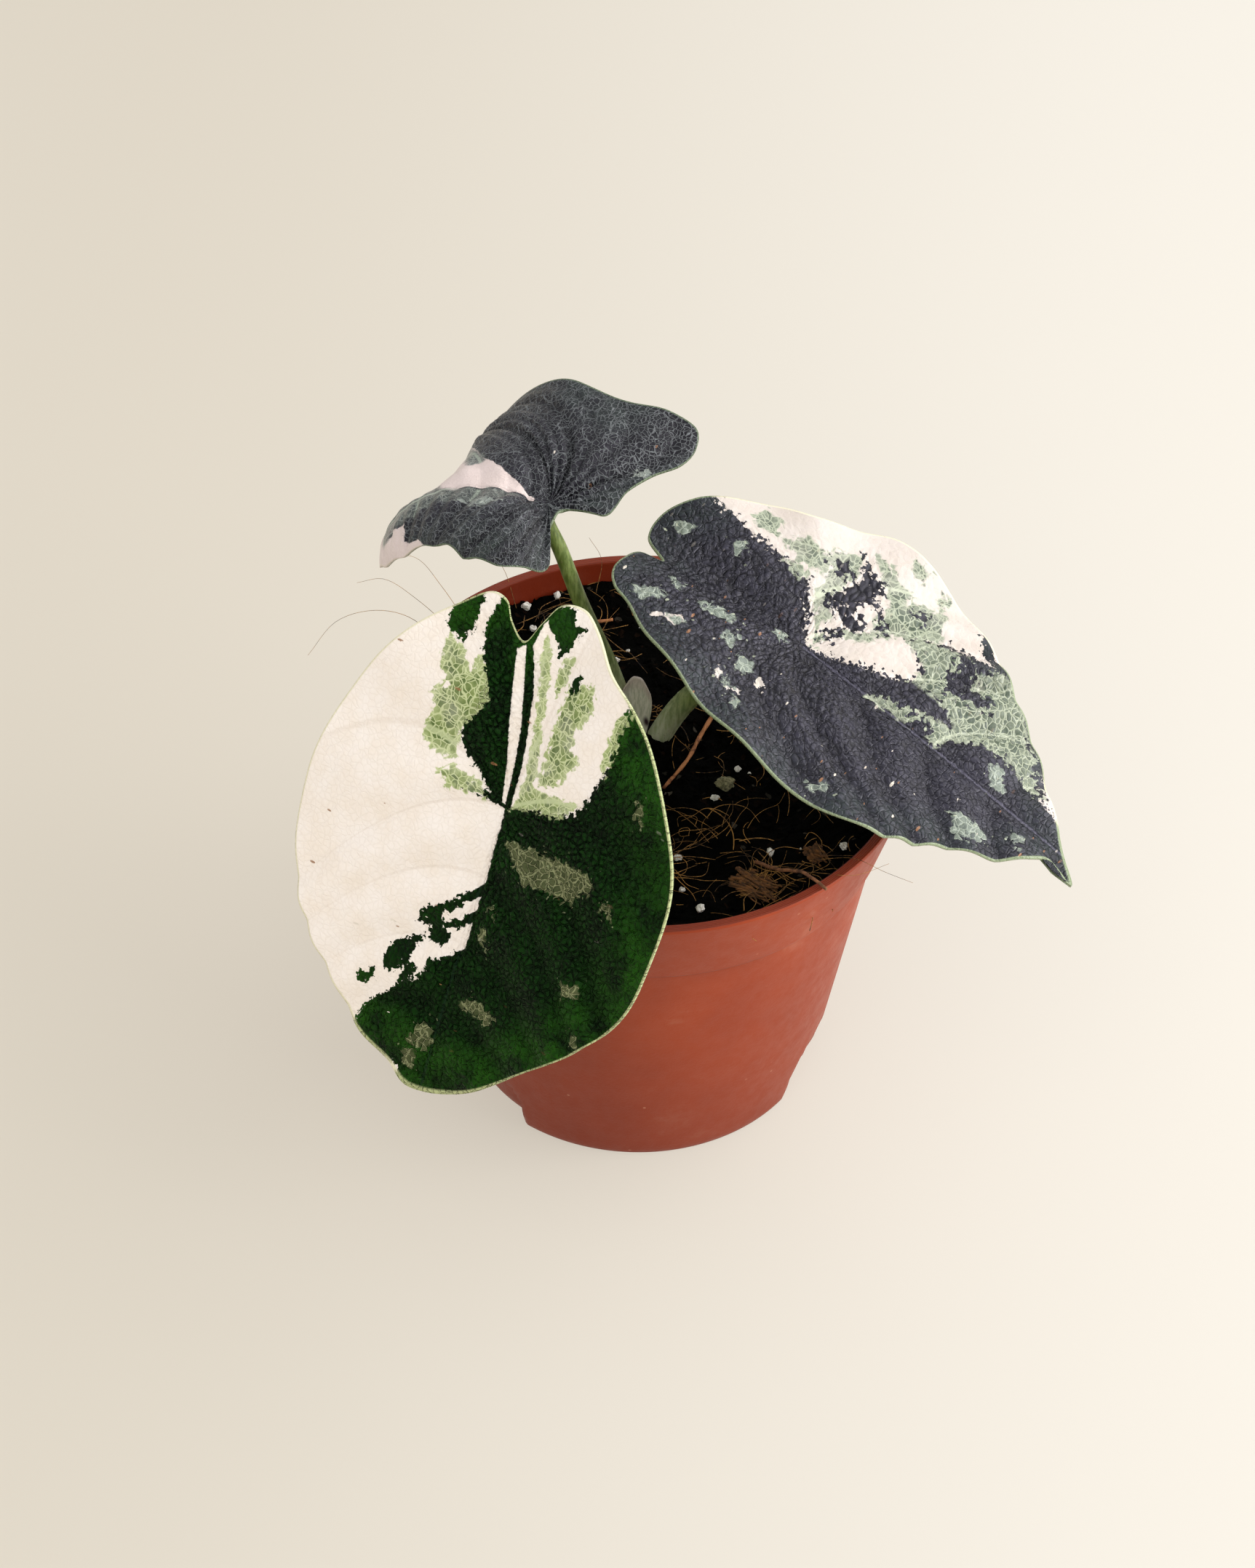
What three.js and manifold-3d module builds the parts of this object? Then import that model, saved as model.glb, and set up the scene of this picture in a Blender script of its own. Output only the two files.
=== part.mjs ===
// A young variegated aroid with three shield-shaped leaves, standing in a moulded nursery pot.
// Millimetres, +Z up. The origin is the middle of the pot's underside, where it stands.
// The plant's open side, with the hanging leaf, faces -Y.

import * as THREE from 'three';
import { mergeVertices } from 'three/addons/utils/BufferGeometryUtils.js';
import Module from 'manifold-3d';

const wasm = await Module();
wasm.setup();

const DEG = Math.PI / 180;
const UP = new THREE.Vector3(0, 0, 1);

// Driving dimensions of the pot: a 12 cm nursery pot
const POT_RIM_RADIUS = 60;
const POT_HEIGHT = 91.6;
const POT_BASE_RADIUS = 42.8;
const COLLAR_HEIGHT = 19.3;
const COLLAR_FOOT_RADIUS = 54.9;
const SHOULDER_RADIUS = 53.6;
const WALL = 1.5;
const RIM_WIDTH = 2.6;
const FLOOR = 2;
const POT_SIDES = 64;
const SOIL_SIDES = 40;

// Drain arches pressed into the foot of the wall, and drain holes through the floor
const ARCH_BEARINGS = [-20, 100, 220];
const ARCH_WIDTH = 23;
const ARCH_HEIGHT = 15;
const ARCH_DEPTH = 3.2;
const DRAIN_HOLES = 6;
const DRAIN_HOLE_RADIUS = 3.5;
const DRAIN_HOLE_CIRCLE = 25;

// Driving dimensions of the soil and of what lies on it
const SOIL_LEVEL = 82;
const CROWN = { x: -0.5, y: 7.5 };
const GAP = 0.3;

// Driving dimensions of the blades
const BLADE_THICKNESS = 1;
const MARGIN_THICKNESS = 0.7;
const PAD_RADIUS = 6;
const BLADE_RINGS = 10;
const SPOKES_PER_POINT = 2;

const materials = {
  pot: new THREE.MeshStandardMaterial({ color: '#a5432a', roughness: 0.45, metalness: 0 }),
  soil: new THREE.MeshStandardMaterial({ color: '#1d1512', roughness: 1, metalness: 0 }),
  petiole: new THREE.MeshStandardMaterial({ color: '#7f9560', roughness: 0.5, metalness: 0 }),
  darkBlade: new THREE.MeshStandardMaterial({ color: '#2c3238', roughness: 0.5, metalness: 0 }),
  creamBlade: new THREE.MeshStandardMaterial({ color: '#cfc7a8', roughness: 0.5, metalness: 0 }),
  sheath: new THREE.MeshStandardMaterial({ color: '#b9ab9c', roughness: 0.6, metalness: 0 }),
  root: new THREE.MeshStandardMaterial({ color: '#8d4f28', roughness: 0.8, metalness: 0 }),
  perlite: new THREE.MeshStandardMaterial({ color: '#e6e2d8', roughness: 0.9, metalness: 0 }),
  pebble: new THREE.MeshStandardMaterial({ color: '#9a9470', roughness: 0.8, metalness: 0 }),
  bark: new THREE.MeshStandardMaterial({ color: '#57301d', roughness: 0.95, metalness: 0 }),
};

const plant = new THREE.Group();
plant.name = 'potted_aroid';

function addPiece(name, geometry, material) {
  const mesh = new THREE.Mesh(geometry, material);
  mesh.name = name;
  plant.add(mesh);
}

// Solids for cutting and joining

function toSolid(geometry) {
  const bare = geometry.clone();
  bare.deleteAttribute('normal');
  bare.deleteAttribute('uv');
  const merged = mergeVertices(bare, 1e-4);
  return new wasm.Manifold(new wasm.Mesh({
    numProp: 3,
    vertProperties: new Float32Array(merged.attributes.position.array),
    triVerts: new Uint32Array(merged.index.array),
  }));
}

function toGeometry(solid) {
  const mesh = solid.getMesh();
  const geometry = new THREE.BufferGeometry();
  geometry.setAttribute('position', new THREE.BufferAttribute(mesh.vertProperties, 3));
  geometry.setIndex(new THREE.BufferAttribute(mesh.triVerts, 1));
  geometry.computeVertexNormals();
  return geometry;
}

function lathe(points, sides) {
  const profile = points.map(([radius, height]) => new THREE.Vector2(radius, height));
  const geometry = new THREE.LatheGeometry(profile, sides);
  geometry.rotateX(Math.PI / 2);
  return toSolid(geometry);
}

// Pot

function potOutside() {
  const lip = 0.6;
  const shoulder = POT_HEIGHT - COLLAR_HEIGHT;
  return lathe([
    [0, 0],
    [POT_BASE_RADIUS - lip, 0],
    [POT_BASE_RADIUS, lip],
    [SHOULDER_RADIUS, shoulder],
    [COLLAR_FOOT_RADIUS, shoulder],
    [POT_RIM_RADIUS - lip / 3, POT_HEIGHT - lip],
    [POT_RIM_RADIUS - lip, POT_HEIGHT],
    [0, POT_HEIGHT],
  ], POT_SIDES);
}

// The room inside the wall, drawn in by a clearance where the soil is shaped to it
function potInside(clearance, top, sides) {
  const shoulder = POT_HEIGHT - COLLAR_HEIGHT + WALL;
  const lip = 4;
  const collarTop = POT_RIM_RADIUS - RIM_WIDTH;
  return lathe([
    [0, FLOOR + clearance],
    [POT_BASE_RADIUS - WALL - clearance, FLOOR + clearance],
    [SHOULDER_RADIUS - WALL - clearance, shoulder],
    [COLLAR_FOOT_RADIUS - WALL - clearance, shoulder + clearance],
    [collarTop - WALL / 3 - clearance, POT_HEIGHT - lip],
    [collarTop - clearance, POT_HEIGHT],
    [collarTop - clearance, top],
    [0, top],
  ], sides);
}

// One block for each drain arch, reaching a depth into the sloping wall
function archBlocks(depth, margin) {
  const width = ARCH_WIDTH + 2 * margin;
  const height = ARCH_HEIGHT + margin;
  const slope = Math.atan2(SHOULDER_RADIUS - POT_BASE_RADIUS, POT_HEIGHT - COLLAR_HEIGHT);
  const outline = new THREE.Shape();
  outline.moveTo(-width / 2, -2);
  outline.lineTo(width / 2, -2);
  outline.lineTo(width / 2, height * 0.45);
  outline.bezierCurveTo(width / 2, height * 0.85, width / 4, height, 0, height);
  outline.bezierCurveTo(-width / 4, height, -width / 2, height * 0.85, -width / 2, height * 0.45);
  return ARCH_BEARINGS.map((bearing) => {
    const geometry = new THREE.ExtrudeGeometry(outline, { depth: 12, bevelEnabled: false, curveSegments: 5 });
    geometry.rotateX(Math.PI / 2);
    geometry.translate(0, -POT_BASE_RADIUS + depth, 0);
    geometry.applyMatrix4(new THREE.Matrix4()
      .makeTranslation(0, -POT_BASE_RADIUS, 0)
      .multiply(new THREE.Matrix4().makeRotationX(slope))
      .multiply(new THREE.Matrix4().makeTranslation(0, POT_BASE_RADIUS, 0)));
    geometry.rotateZ((bearing + 90) * DEG);
    return toSolid(geometry);
  });
}

function roomForSoil(clearance, top, sides) {
  let room = potInside(clearance, top, sides);
  for (const block of archBlocks(ARCH_DEPTH + WALL + clearance, WALL + clearance)) {
    room = room.subtract(block);
  }
  return room;
}

function pot() {
  let shell = potOutside();
  for (const block of archBlocks(ARCH_DEPTH, 0)) {
    shell = shell.subtract(block);
  }
  shell = shell.subtract(roomForSoil(0, POT_HEIGHT + 5, POT_SIDES));
  const drill = new THREE.CylinderGeometry(DRAIN_HOLE_RADIUS, DRAIN_HOLE_RADIUS, 4 * FLOOR, 16);
  drill.rotateX(Math.PI / 2);
  for (let hole = 0; hole < DRAIN_HOLES; hole += 1) {
    const bearing = (hole / DRAIN_HOLES) * 2 * Math.PI;
    const place = drill.clone();
    place.translate(DRAIN_HOLE_CIRCLE * Math.cos(bearing), DRAIN_HOLE_CIRCLE * Math.sin(bearing), 0);
    shell = shell.subtract(toSolid(place));
  }
  return toGeometry(shell);
}

// Soil surface: a low mound at the crown, uneven lumps, and a bank against the wall at the back left

function soilHeight(x, y) {
  const fromCrown = Math.hypot(x - CROWN.x, y - CROWN.y);
  const mound = 2.2 * Math.exp(-((fromCrown / 14) ** 2));
  const lumps = 0.7 * Math.sin(x * 0.21 + 1.3) * Math.cos(y * 0.19 - 0.6)
    + 0.45 * Math.sin(x * 0.37 - y * 0.29 + 2.1);
  const edge = 1.2 * (Math.hypot(x, y) / 56) ** 4;
  const bank = 5 / (1 + Math.exp((54 - 0.9 * y + 0.45 * x) / 5));
  return SOIL_LEVEL + mound + lumps + edge + bank;
}

function soilBlock() {
  const rings = 9;
  const spokes = SOIL_SIDES;
  const reach = POT_RIM_RADIUS;
  const points = [0, 0, soilHeight(0, 0), 0, 0, 0];
  const faces = [];
  for (let ring = 1; ring <= rings; ring += 1) {
    for (let spoke = 0; spoke < spokes; spoke += 1) {
      const bearing = (spoke / spokes) * 2 * Math.PI;
      const x = reach * (ring / rings) * Math.cos(bearing);
      const y = reach * (ring / rings) * Math.sin(bearing);
      points.push(x, y, soilHeight(x, y));
    }
  }
  const base = points.length / 3;
  for (let spoke = 0; spoke < spokes; spoke += 1) {
    const bearing = (spoke / spokes) * 2 * Math.PI;
    points.push(reach * Math.cos(bearing), reach * Math.sin(bearing), 0);
  }
  const top = (ring, spoke) => 2 + (ring - 1) * spokes + (spoke % spokes);
  for (let spoke = 0; spoke < spokes; spoke += 1) {
    const next = (spoke + 1) % spokes;
    faces.push(0, top(1, spoke), top(1, next));
    for (let ring = 1; ring < rings; ring += 1) {
      faces.push(top(ring, spoke), top(ring + 1, spoke), top(ring + 1, next));
      faces.push(top(ring, spoke), top(ring + 1, next), top(ring, next));
    }
    faces.push(top(rings, spoke), base + spoke, base + next);
    faces.push(top(rings, spoke), base + next, top(rings, next));
    faces.push(1, base + next, base + spoke);
  }
  const geometry = new THREE.BufferGeometry();
  geometry.setAttribute('position', new THREE.Float32BufferAttribute(points, 3));
  geometry.setIndex(faces);
  return toSolid(geometry);
}

// A round stem along a smooth curve, tapering from its foot to its top
function stem({ route, foot, top, sides = 10, steps = 14 }, grow = 0) {
  const curve = new THREE.CatmullRomCurve3(route.map((point) => new THREE.Vector3(...point)));
  const frames = curve.computeFrenetFrames(steps, false);
  const points = [];
  const faces = [];
  for (let step = 0; step <= steps; step += 1) {
    const centre = curve.getPointAt(step / steps);
    const radius = foot + (top - foot) * (step / steps) + grow;
    for (let side = 0; side < sides; side += 1) {
      const turn = (side / sides) * 2 * Math.PI;
      const rim = centre.clone()
        .addScaledVector(frames.normals[step], radius * Math.cos(turn))
        .addScaledVector(frames.binormals[step], radius * Math.sin(turn));
      points.push(rim.x, rim.y, rim.z);
    }
  }
  for (let step = 0; step < steps; step += 1) {
    for (let side = 0; side < sides; side += 1) {
      const a = step * sides + side;
      const b = step * sides + ((side + 1) % sides);
      faces.push(a, b, b + sides, a, b + sides, a + sides);
    }
  }
  for (let side = 1; side < sides - 1; side += 1) {
    const last = steps * sides;
    faces.push(0, side + 1, side);
    faces.push(last, last + side, last + side + 1);
  }
  const geometry = new THREE.BufferGeometry();
  geometry.setAttribute('position', new THREE.Float32BufferAttribute(points, 3));
  geometry.setIndex(faces);
  geometry.computeVertexNormals();
  return geometry;
}

// Blades. A flat outline is drawn in millimetres from the stalk's attachment: u towards the apex,
// v to the right of it as seen on the upper face. Ribs leave the attachment at a rise, droop by a
// bend for each millimetre and swing sideways by a turn. Those are read at eight bearings round
// the attachment, every 45 degrees from the apex towards the right-hand side. The side ribs leave
// the midrib a pitch apart and sweep towards the apex as they run out to the margin; behind the
// attachment they fan out, a lobe pitch in degrees apart.

const leaves = {
  a: {
    attachment: [-28.4, -45.5, 113],
    heading: -125,
    dip: 60,
    rise: [0, 7, 10, 7, 0, 7, 10, 7],
    bend: [0.12, 0.15, 0.15, 0.12, 0.1, 0.12, 0.15, 0.15],
    turn: [0, 0, 0, 0, 0, 0, 0, 0],
    quilt: 1.2,
    pitch: 16,
    sweep: 0.022,
    lobePitch: 42,
    fold: { slope: 0, from: 0, over: 10 },
    wave: 0.8,
    material: 'creamBlade',
    outline: [
      [-35, 8.5], [-38, 12.5], [-41.5, 15], [-42, 18.5], [-37, 24.5], [-29, 32], [-15, 40], [-2, 44],
      [12, 45.5], [26, 44], [38, 39], [48, 32.5], [56, 25], [62, 18], [65.5, 10], [69, 3],
      [67, -5], [62, -13], [52, -23], [40, -35], [27, -43.5], [14, -46], [1, -45.5], [-10, -42],
      [-19, -37], [-27, -29.5], [-34, -21], [-38, -13], [-43, -6], [-46, -1], [-45, 4], [-40, 6.5],
    ],
  },
  b: {
    attachment: [32.9, 1.8, 118],
    heading: -30,
    dip: 20,
    rise: [0, 7, 10, 7, 0, 7, 10, 7],
    bend: [0.1, 0.2, 0.25, 0.2, 0.1, 0.2, 0.25, 0.2],
    turn: [0, 0, 0, 0, 0, 0, 0, 0],
    quilt: 1.3,
    pitch: 18,
    sweep: 0.045,
    lobePitch: 42,
    fold: { slope: 0, from: 0, over: 10 },
    wave: 0.9,
    material: 'darkBlade',
    outline: [
      [-35, 3], [-40, 5], [-41.5, 10], [-41.5, 15], [-39, 18.5], [-34, 20.5], [-26, 26], [-15, 30.5],
      [-4, 34], [10, 36], [25, 35.5], [36, 32.5], [45, 26], [53, 18.5], [61, 14], [67, 8],
      [71.5, 3.5], [78, 5.5], [72, -1], [65, -8], [56, -16.5], [45, -23.5], [34, -29.5], [23, -34.5],
      [11, -37.5], [1, -38], [-7, -33.5], [-15, -29], [-23, -26.5], [-32, -21], [-38.5, -15],
      [-42, -8], [-41, -1],
    ],
  },
  c: {
    attachment: [-22.3, 9.1, 150],
    heading: 168,
    dip: -3,
    rise: [18, 27, 22, 20, 9, 0, 50, 45],
    bend: [2.1, 2.4, 0.6, 0.3, 1.2, 3.1, 4.4, 3.8],
    turn: [0, 0, -2, 0, 0, 31, 8, 0],
    quilt: 1.2,
    pitch: 15,
    sweep: 0.03,
    lobePitch: 30,
    fold: { slope: 1, from: 18, over: 10 },
    wave: 0.5,
    material: 'darkBlade',
    outline: [
      [53.5, -0.5], [44, -9.6], [32, -14.6], [21, -18.8], [12, -24], [3, -25], [-4.5, -21], [-9.5, -15.5],
      [-11, -10.5], [-8, -7], [-4.5, -3.5], [-3.5, -0.6], [-8.5, 0.2], [-13, 0.4], [-16.5, 5],
      [-21, 10.6], [-26, 14.8], [-28.2, 19.5], [-27.4, 24.6], [-21, 27], [-13, 27.4], [-4, 30.6],
      [6, 34.4], [18, 36.6], [28, 28.5], [34.5, 12], [41, 5], [48, 2.4],
    ],
  },
};

// Smooth value at an angle between the eight readings round the attachment
function readAround(readings, angle) {
  const count = readings.length;
  const turns = angle / (2 * Math.PI);
  const place = (turns - Math.floor(turns)) * count;
  const index = Math.floor(place) % count;
  const part = place - Math.floor(place);
  const value = (offset) => readings[(index + offset + count) % count];
  const leave = (value(1) - value(-1)) / 2;
  const arrive = (value(2) - value(0)) / 2;
  const cube = part ** 3;
  const square = part ** 2;
  return (2 * cube - 3 * square + 1) * value(0) + (cube - 2 * square + part) * leave
    + (3 * square - 2 * cube) * value(1) + (cube - square) * arrive;
}

function bladeAxes({ heading, dip }) {
  const apex = new THREE.Vector3(
    Math.cos(heading * DEG) * Math.cos(dip * DEG),
    Math.sin(heading * DEG) * Math.cos(dip * DEG),
    -Math.sin(dip * DEG),
  );
  const side = new THREE.Vector3().crossVectors(apex, UP).normalize();
  const face = new THREE.Vector3().crossVectors(side, apex);
  return { apex, side, face };
}

// The blade swells between its side ribs and dips softly along them
function quilting(leaf, u, v, reach) {
  const along = u - leaf.sweep * v * v;
  const angle = Math.atan2(Math.abs(v), along) / DEG;
  const rib = angle > 90 ? (angle - 90) / leaf.lobePitch : along / leaf.pitch;
  const away = 1 - Math.exp(-((reach / (2 * PAD_RADIUS)) ** 2));
  const midrib = 1 - Math.exp(-((v / 3) ** 2));
  return leaf.quilt * away * midrib * Math.abs(Math.sin(Math.PI * rib)) ** 1.4;
}

// Near its apex a blade may be folded down along the midrib on its right-hand side
function foldDrop({ slope, from, over }, u, v) {
  const ramp = Math.min(Math.max((u - from - 0.15 * v) / over, 0), 1);
  const off = v > 0 ? Math.sqrt(v * v + 4) - 2 : 0;
  return slope * off * ramp * ramp * (3 - 2 * ramp);
}

function bladePoint(leaf, axes, u, v, edge) {
  const reach = Math.hypot(u, v);
  const angle = Math.atan2(v, u);
  const rise = readAround(leaf.rise, angle) * DEG;
  const bend = readAround(leaf.bend, angle) * DEG;
  const bearing = angle + readAround(leaf.turn, angle) * DEG;
  const out = (Math.sin(rise) - Math.sin(rise - bend * reach)) / bend;
  const lift = (Math.cos(rise - bend * reach) - Math.cos(rise)) / bend;
  const free = 1 - Math.exp(-((reach / PAD_RADIUS) ** 2));
  const flat = reach + (out - reach) * free;
  const wave = leaf.wave * edge ** 3 * Math.sin(9 * angle + 1);
  const height = lift * free + quilting(leaf, u, v, reach) + wave - foldDrop(leaf.fold, u, v);
  return new THREE.Vector3(...leaf.attachment)
    .addScaledVector(axes.apex, flat * Math.cos(bearing))
    .addScaledVector(axes.side, flat * Math.sin(bearing))
    .addScaledVector(axes.face, height);
}

function bladeNormal(leaf, axes, u, v, edge) {
  const step = 0.5;
  const along = bladePoint(leaf, axes, u + step, v, edge).sub(bladePoint(leaf, axes, u - step, v, edge));
  const across = bladePoint(leaf, axes, u, v + step, edge).sub(bladePoint(leaf, axes, u, v - step, edge));
  return across.cross(along).normalize();
}

function blade(leaf) {
  const axes = bladeAxes(leaf);
  const curve = new THREE.CatmullRomCurve3(
    leaf.outline.map(([u, v]) => new THREE.Vector3(u, v, 0)), true, 'centripetal');
  const spokes = leaf.outline.length * SPOKES_PER_POINT;
  const rim = Array.from({ length: spokes }, (_, spoke) => curve.getPoint(spoke / spokes));
  const points = [];
  const addPair = (u, v, edge) => {
    const centre = bladePoint(leaf, axes, u, v, edge);
    const normal = reachNormal(leaf, axes, u, v, edge);
    const half = (BLADE_THICKNESS + (MARGIN_THICKNESS - BLADE_THICKNESS) * edge) / 2;
    points.push(...centre.clone().addScaledVector(normal, half).toArray());
    points.push(...centre.clone().addScaledVector(normal, -half).toArray());
  };
  addPair(0, 0, 0);
  for (let ring = 1; ring <= BLADE_RINGS; ring += 1) {
    const edge = ring / BLADE_RINGS;
    rim.forEach((point) => addPair(point.x * edge, point.y * edge, edge));
  }
  const faces = [];
  const at = (ring, spoke, under) => 2 * (1 + (ring - 1) * spokes + (spoke % spokes)) + under;
  const addTwice = (a, b, c) => {
    faces.push(a, b, c);
    faces.push(a + 1, c + 1, b + 1);
  };
  for (let spoke = 0; spoke < spokes; spoke += 1) {
    addTwice(0, at(1, spoke, 0), at(1, spoke + 1, 0));
    for (let ring = 1; ring < BLADE_RINGS; ring += 1) {
      addTwice(at(ring, spoke, 0), at(ring + 1, spoke, 0), at(ring + 1, spoke + 1, 0));
      addTwice(at(ring, spoke, 0), at(ring + 1, spoke + 1, 0), at(ring, spoke + 1, 0));
    }
    const outer = at(BLADE_RINGS, spoke, 0);
    const next = at(BLADE_RINGS, spoke + 1, 0);
    faces.push(outer, next + 1, next, outer, outer + 1, next + 1);
  }
  const geometry = new THREE.BufferGeometry();
  geometry.setAttribute('position', new THREE.Float32BufferAttribute(points, 3));
  geometry.setIndex(faces);
  geometry.computeVertexNormals();
  return geometry;
}

// At the attachment itself the blade lies square to the stalk
function reachNormal(leaf, axes, u, v, edge) {
  return Math.hypot(u, v) < 1 ? axes.face.clone() : bladeNormal(leaf, axes, u, v, edge);
}

// Leaf stalks. Each stands on the rhizome, and its top lies square under its blade's attachment.

function stalkTop(leaf, below) {
  const { face } = bladeAxes(leaf);
  return new THREE.Vector3(...leaf.attachment).addScaledVector(face, -below).toArray();
}

const RHIZOME_TOP = 77;
const STALK_FOOT = RHIZOME_TOP + GAP;
const STALK_END = BLADE_THICKNESS / 2 + GAP;

const stalks = {
  a: {
    foot: 2.4,
    top: 2,
    route: [[-1.6, 4.2, STALK_FOOT], [-1.6, 4.2, 81], [-6.5, -6, 96], [-16, -25, 107],
      stalkTop(leaves.a, 6), stalkTop(leaves.a, STALK_END)],
  },
  b: {
    foot: 2.8,
    top: 2.1,
    route: [[2.6, 8.6, STALK_FOOT], [2.6, 8.6, 80.5], [9.5, 6.6, 97], [20, 4.2, 108.5],
      stalkTop(leaves.b, 5), stalkTop(leaves.b, STALK_END)],
  },
  c: {
    foot: 1.9,
    top: 1.6,
    route: [[-3, 11.2, STALK_FOOT], [-3, 11.2, 83], [-7.4, 9.8, 101], [-14.6, 9.2, 121.5],
      [-19.6, 9, 138], stalkTop(leaves.c, 4), stalkTop(leaves.c, STALK_END)],
  },
};

function rhizome(grow) {
  const geometry = new THREE.SphereGeometry(8 + grow, 16, 10);
  geometry.scale(1, 1, 1.3);
  geometry.translate(CROWN.x, CROWN.y, RHIZOME_TOP - 6);
  const lid = new THREE.BoxGeometry(40, 40, 20);
  lid.translate(CROWN.x, CROWN.y, RHIZOME_TOP + grow + 10);
  return toSolid(geometry).subtract(toSolid(lid));
}

// Withered sheath leaf that stands cupped against the stalks, its tip folded over
function sheathSheet(grow) {
  const columns = 8;
  const rows = 8;
  const foot = STALK_FOOT + 3 - grow;
  const height = 19.6 + grow;
  const thick = 0.7 + 2 * grow;
  const points = [];
  const faces = [];
  for (let row = 0; row <= rows; row += 1) {
    const up = row / rows;
    const half = 2.6 + 1.9 * up - 1.2 * up ** 6 + grow;
    for (let column = 0; column <= columns; column += 1) {
      const side = (column / columns) * 2 - 1;
      const x = -3.1 + 0.9 * up + side * half;
      const y = 7.95 - 1.1 * side ** 2 + 1.8 * up ** 3 * (1 - side ** 2);
      const z = foot + height * up * (1 - 0.14 * side ** 2);
      points.push(x, y - thick / 2, z, x, y + thick / 2, z);
    }
  }
  const at = (row, column, back) => 2 * (row * (columns + 1) + column) + back;
  const quad = (a, b, c, d) => faces.push(a, b, c, a, c, d);
  for (let row = 0; row < rows; row += 1) {
    for (let column = 0; column < columns; column += 1) {
      const [a, b, c, d] = [at(row, column, 0), at(row, column + 1, 0),
        at(row + 1, column + 1, 0), at(row + 1, column, 0)];
      faces.push(a, b, c, a, c, d, a + 1, c + 1, b + 1, a + 1, d + 1, c + 1);
    }
    quad(at(row, 0, 1), at(row, 0, 0), at(row + 1, 0, 0), at(row + 1, 0, 1));
    quad(at(row, columns, 0), at(row, columns, 1), at(row + 1, columns, 1), at(row + 1, columns, 0));
  }
  for (let column = 0; column < columns; column += 1) {
    quad(at(0, column, 1), at(0, column + 1, 1), at(0, column + 1, 0), at(0, column, 0));
    quad(at(rows, column, 0), at(rows, column + 1, 0), at(rows, column + 1, 1), at(rows, column, 1));
  }
  const geometry = new THREE.BufferGeometry();
  geometry.setAttribute('position', new THREE.Float32BufferAttribute(points, 3));
  geometry.setIndex(faces);
  geometry.computeVertexNormals();
  return geometry;
}

// Pieces of the potting mix that lie on the soil: perlite grains, bark chips, roots and a twig

const grains = [
  { x: -28, y: 47, size: 1.3 }, { x: -21, y: 51, size: 1.1 }, { x: -26, y: 41, size: 1 },
  { x: -7, y: 33, size: 1 }, { x: 16, y: -10, size: 1.1 }, { x: 21, y: 0, size: 0.9 },
  { x: 28, y: -27, size: 1.1 }, { x: 44, y: -24, size: 1.2 }, { x: 8, y: -29, size: 1 },
  { x: 4, y: -43, size: 1.2 }, { x: 9, y: -38, size: 0.9 }, { x: 13, y: -45, size: 1.3 },
];

const chips = [
  { x: 25, y: -37, length: 12, width: 7, turn: -35 },
  { x: 38, y: -27, length: 7, width: 4, turn: -60 },
  { x: -14, y: 38, length: 9, width: 4, turn: 15 },
];

const roots = [
  { radius: 0.5, places: [[15.5, 16], [12.4, 9], [9.8, 1.5], [4.6, -7.5]] },
  { radius: 0.5, places: [[-32, 27], [-25, 35], [-16, 43], [-8, 46]] },
];

function grainShape({ x, y, size }, grow) {
  const geometry = new THREE.IcosahedronGeometry(size + grow, 1);
  geometry.scale(1.15, 0.95, 0.85);
  geometry.rotateZ(x + y);
  geometry.translate(x, y, soilHeight(x, y) + size * 0.25);
  return geometry;
}

function chipShape({ x, y, length, width, turn }, grow) {
  const geometry = new THREE.IcosahedronGeometry(1, 1);
  geometry.scale(length / 2 + grow, width / 2 + grow, 1.3 + grow);
  geometry.rotateX(8 * DEG);
  geometry.rotateZ(turn * DEG);
  geometry.translate(x, y, soilHeight(x, y) + 0.5);
  return geometry;
}

// A surface root lies half sunk in its own furrow
function rootShape({ radius, places }, grow) {
  const route = places.map(([x, y]) => [x, y, soilHeight(x, y) + 0.3 * radius]);
  return stem({ route, foot: radius, top: radius * 0.8, sides: 8, steps: 10 }, grow);
}

// A dry twig that leans from the soil onto the rim, and a pebble in the soil
const twig = {
  foot: 0.45,
  top: 0.35,
  sides: 6,
  steps: 8,
  route: [[24.8, -29.7, soilHeight(24.8, -29.7) + 0.4], [29.5, -35.4, 87],
    [35, -41.4, POT_HEIGHT + 0.6], [39.6, -46, POT_HEIGHT + GAP + 0.45]],
};
const pebble = { x: 18, y: -5.5, size: 1.9 };

function soil() {
  let ground = soilBlock().intersect(roomForSoil(GAP, POT_HEIGHT, SOIL_SIDES));
  const cutters = [rhizome(GAP), toSolid(sheathSheet(GAP))];
  cutters.push(toSolid(stem(twig, GAP)), toSolid(grainShape(pebble, GAP)));
  Object.values(stalks).forEach((stalk) => cutters.push(toSolid(stem(stalk, GAP))));
  grains.forEach((grain) => cutters.push(toSolid(grainShape(grain, GAP))));
  chips.forEach((chip) => cutters.push(toSolid(chipShape(chip, GAP))));
  roots.forEach((root) => cutters.push(toSolid(rootShape(root, GAP))));
  for (const cutter of cutters) {
    ground = ground.subtract(cutter);
  }
  return toGeometry(ground);
}

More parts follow.
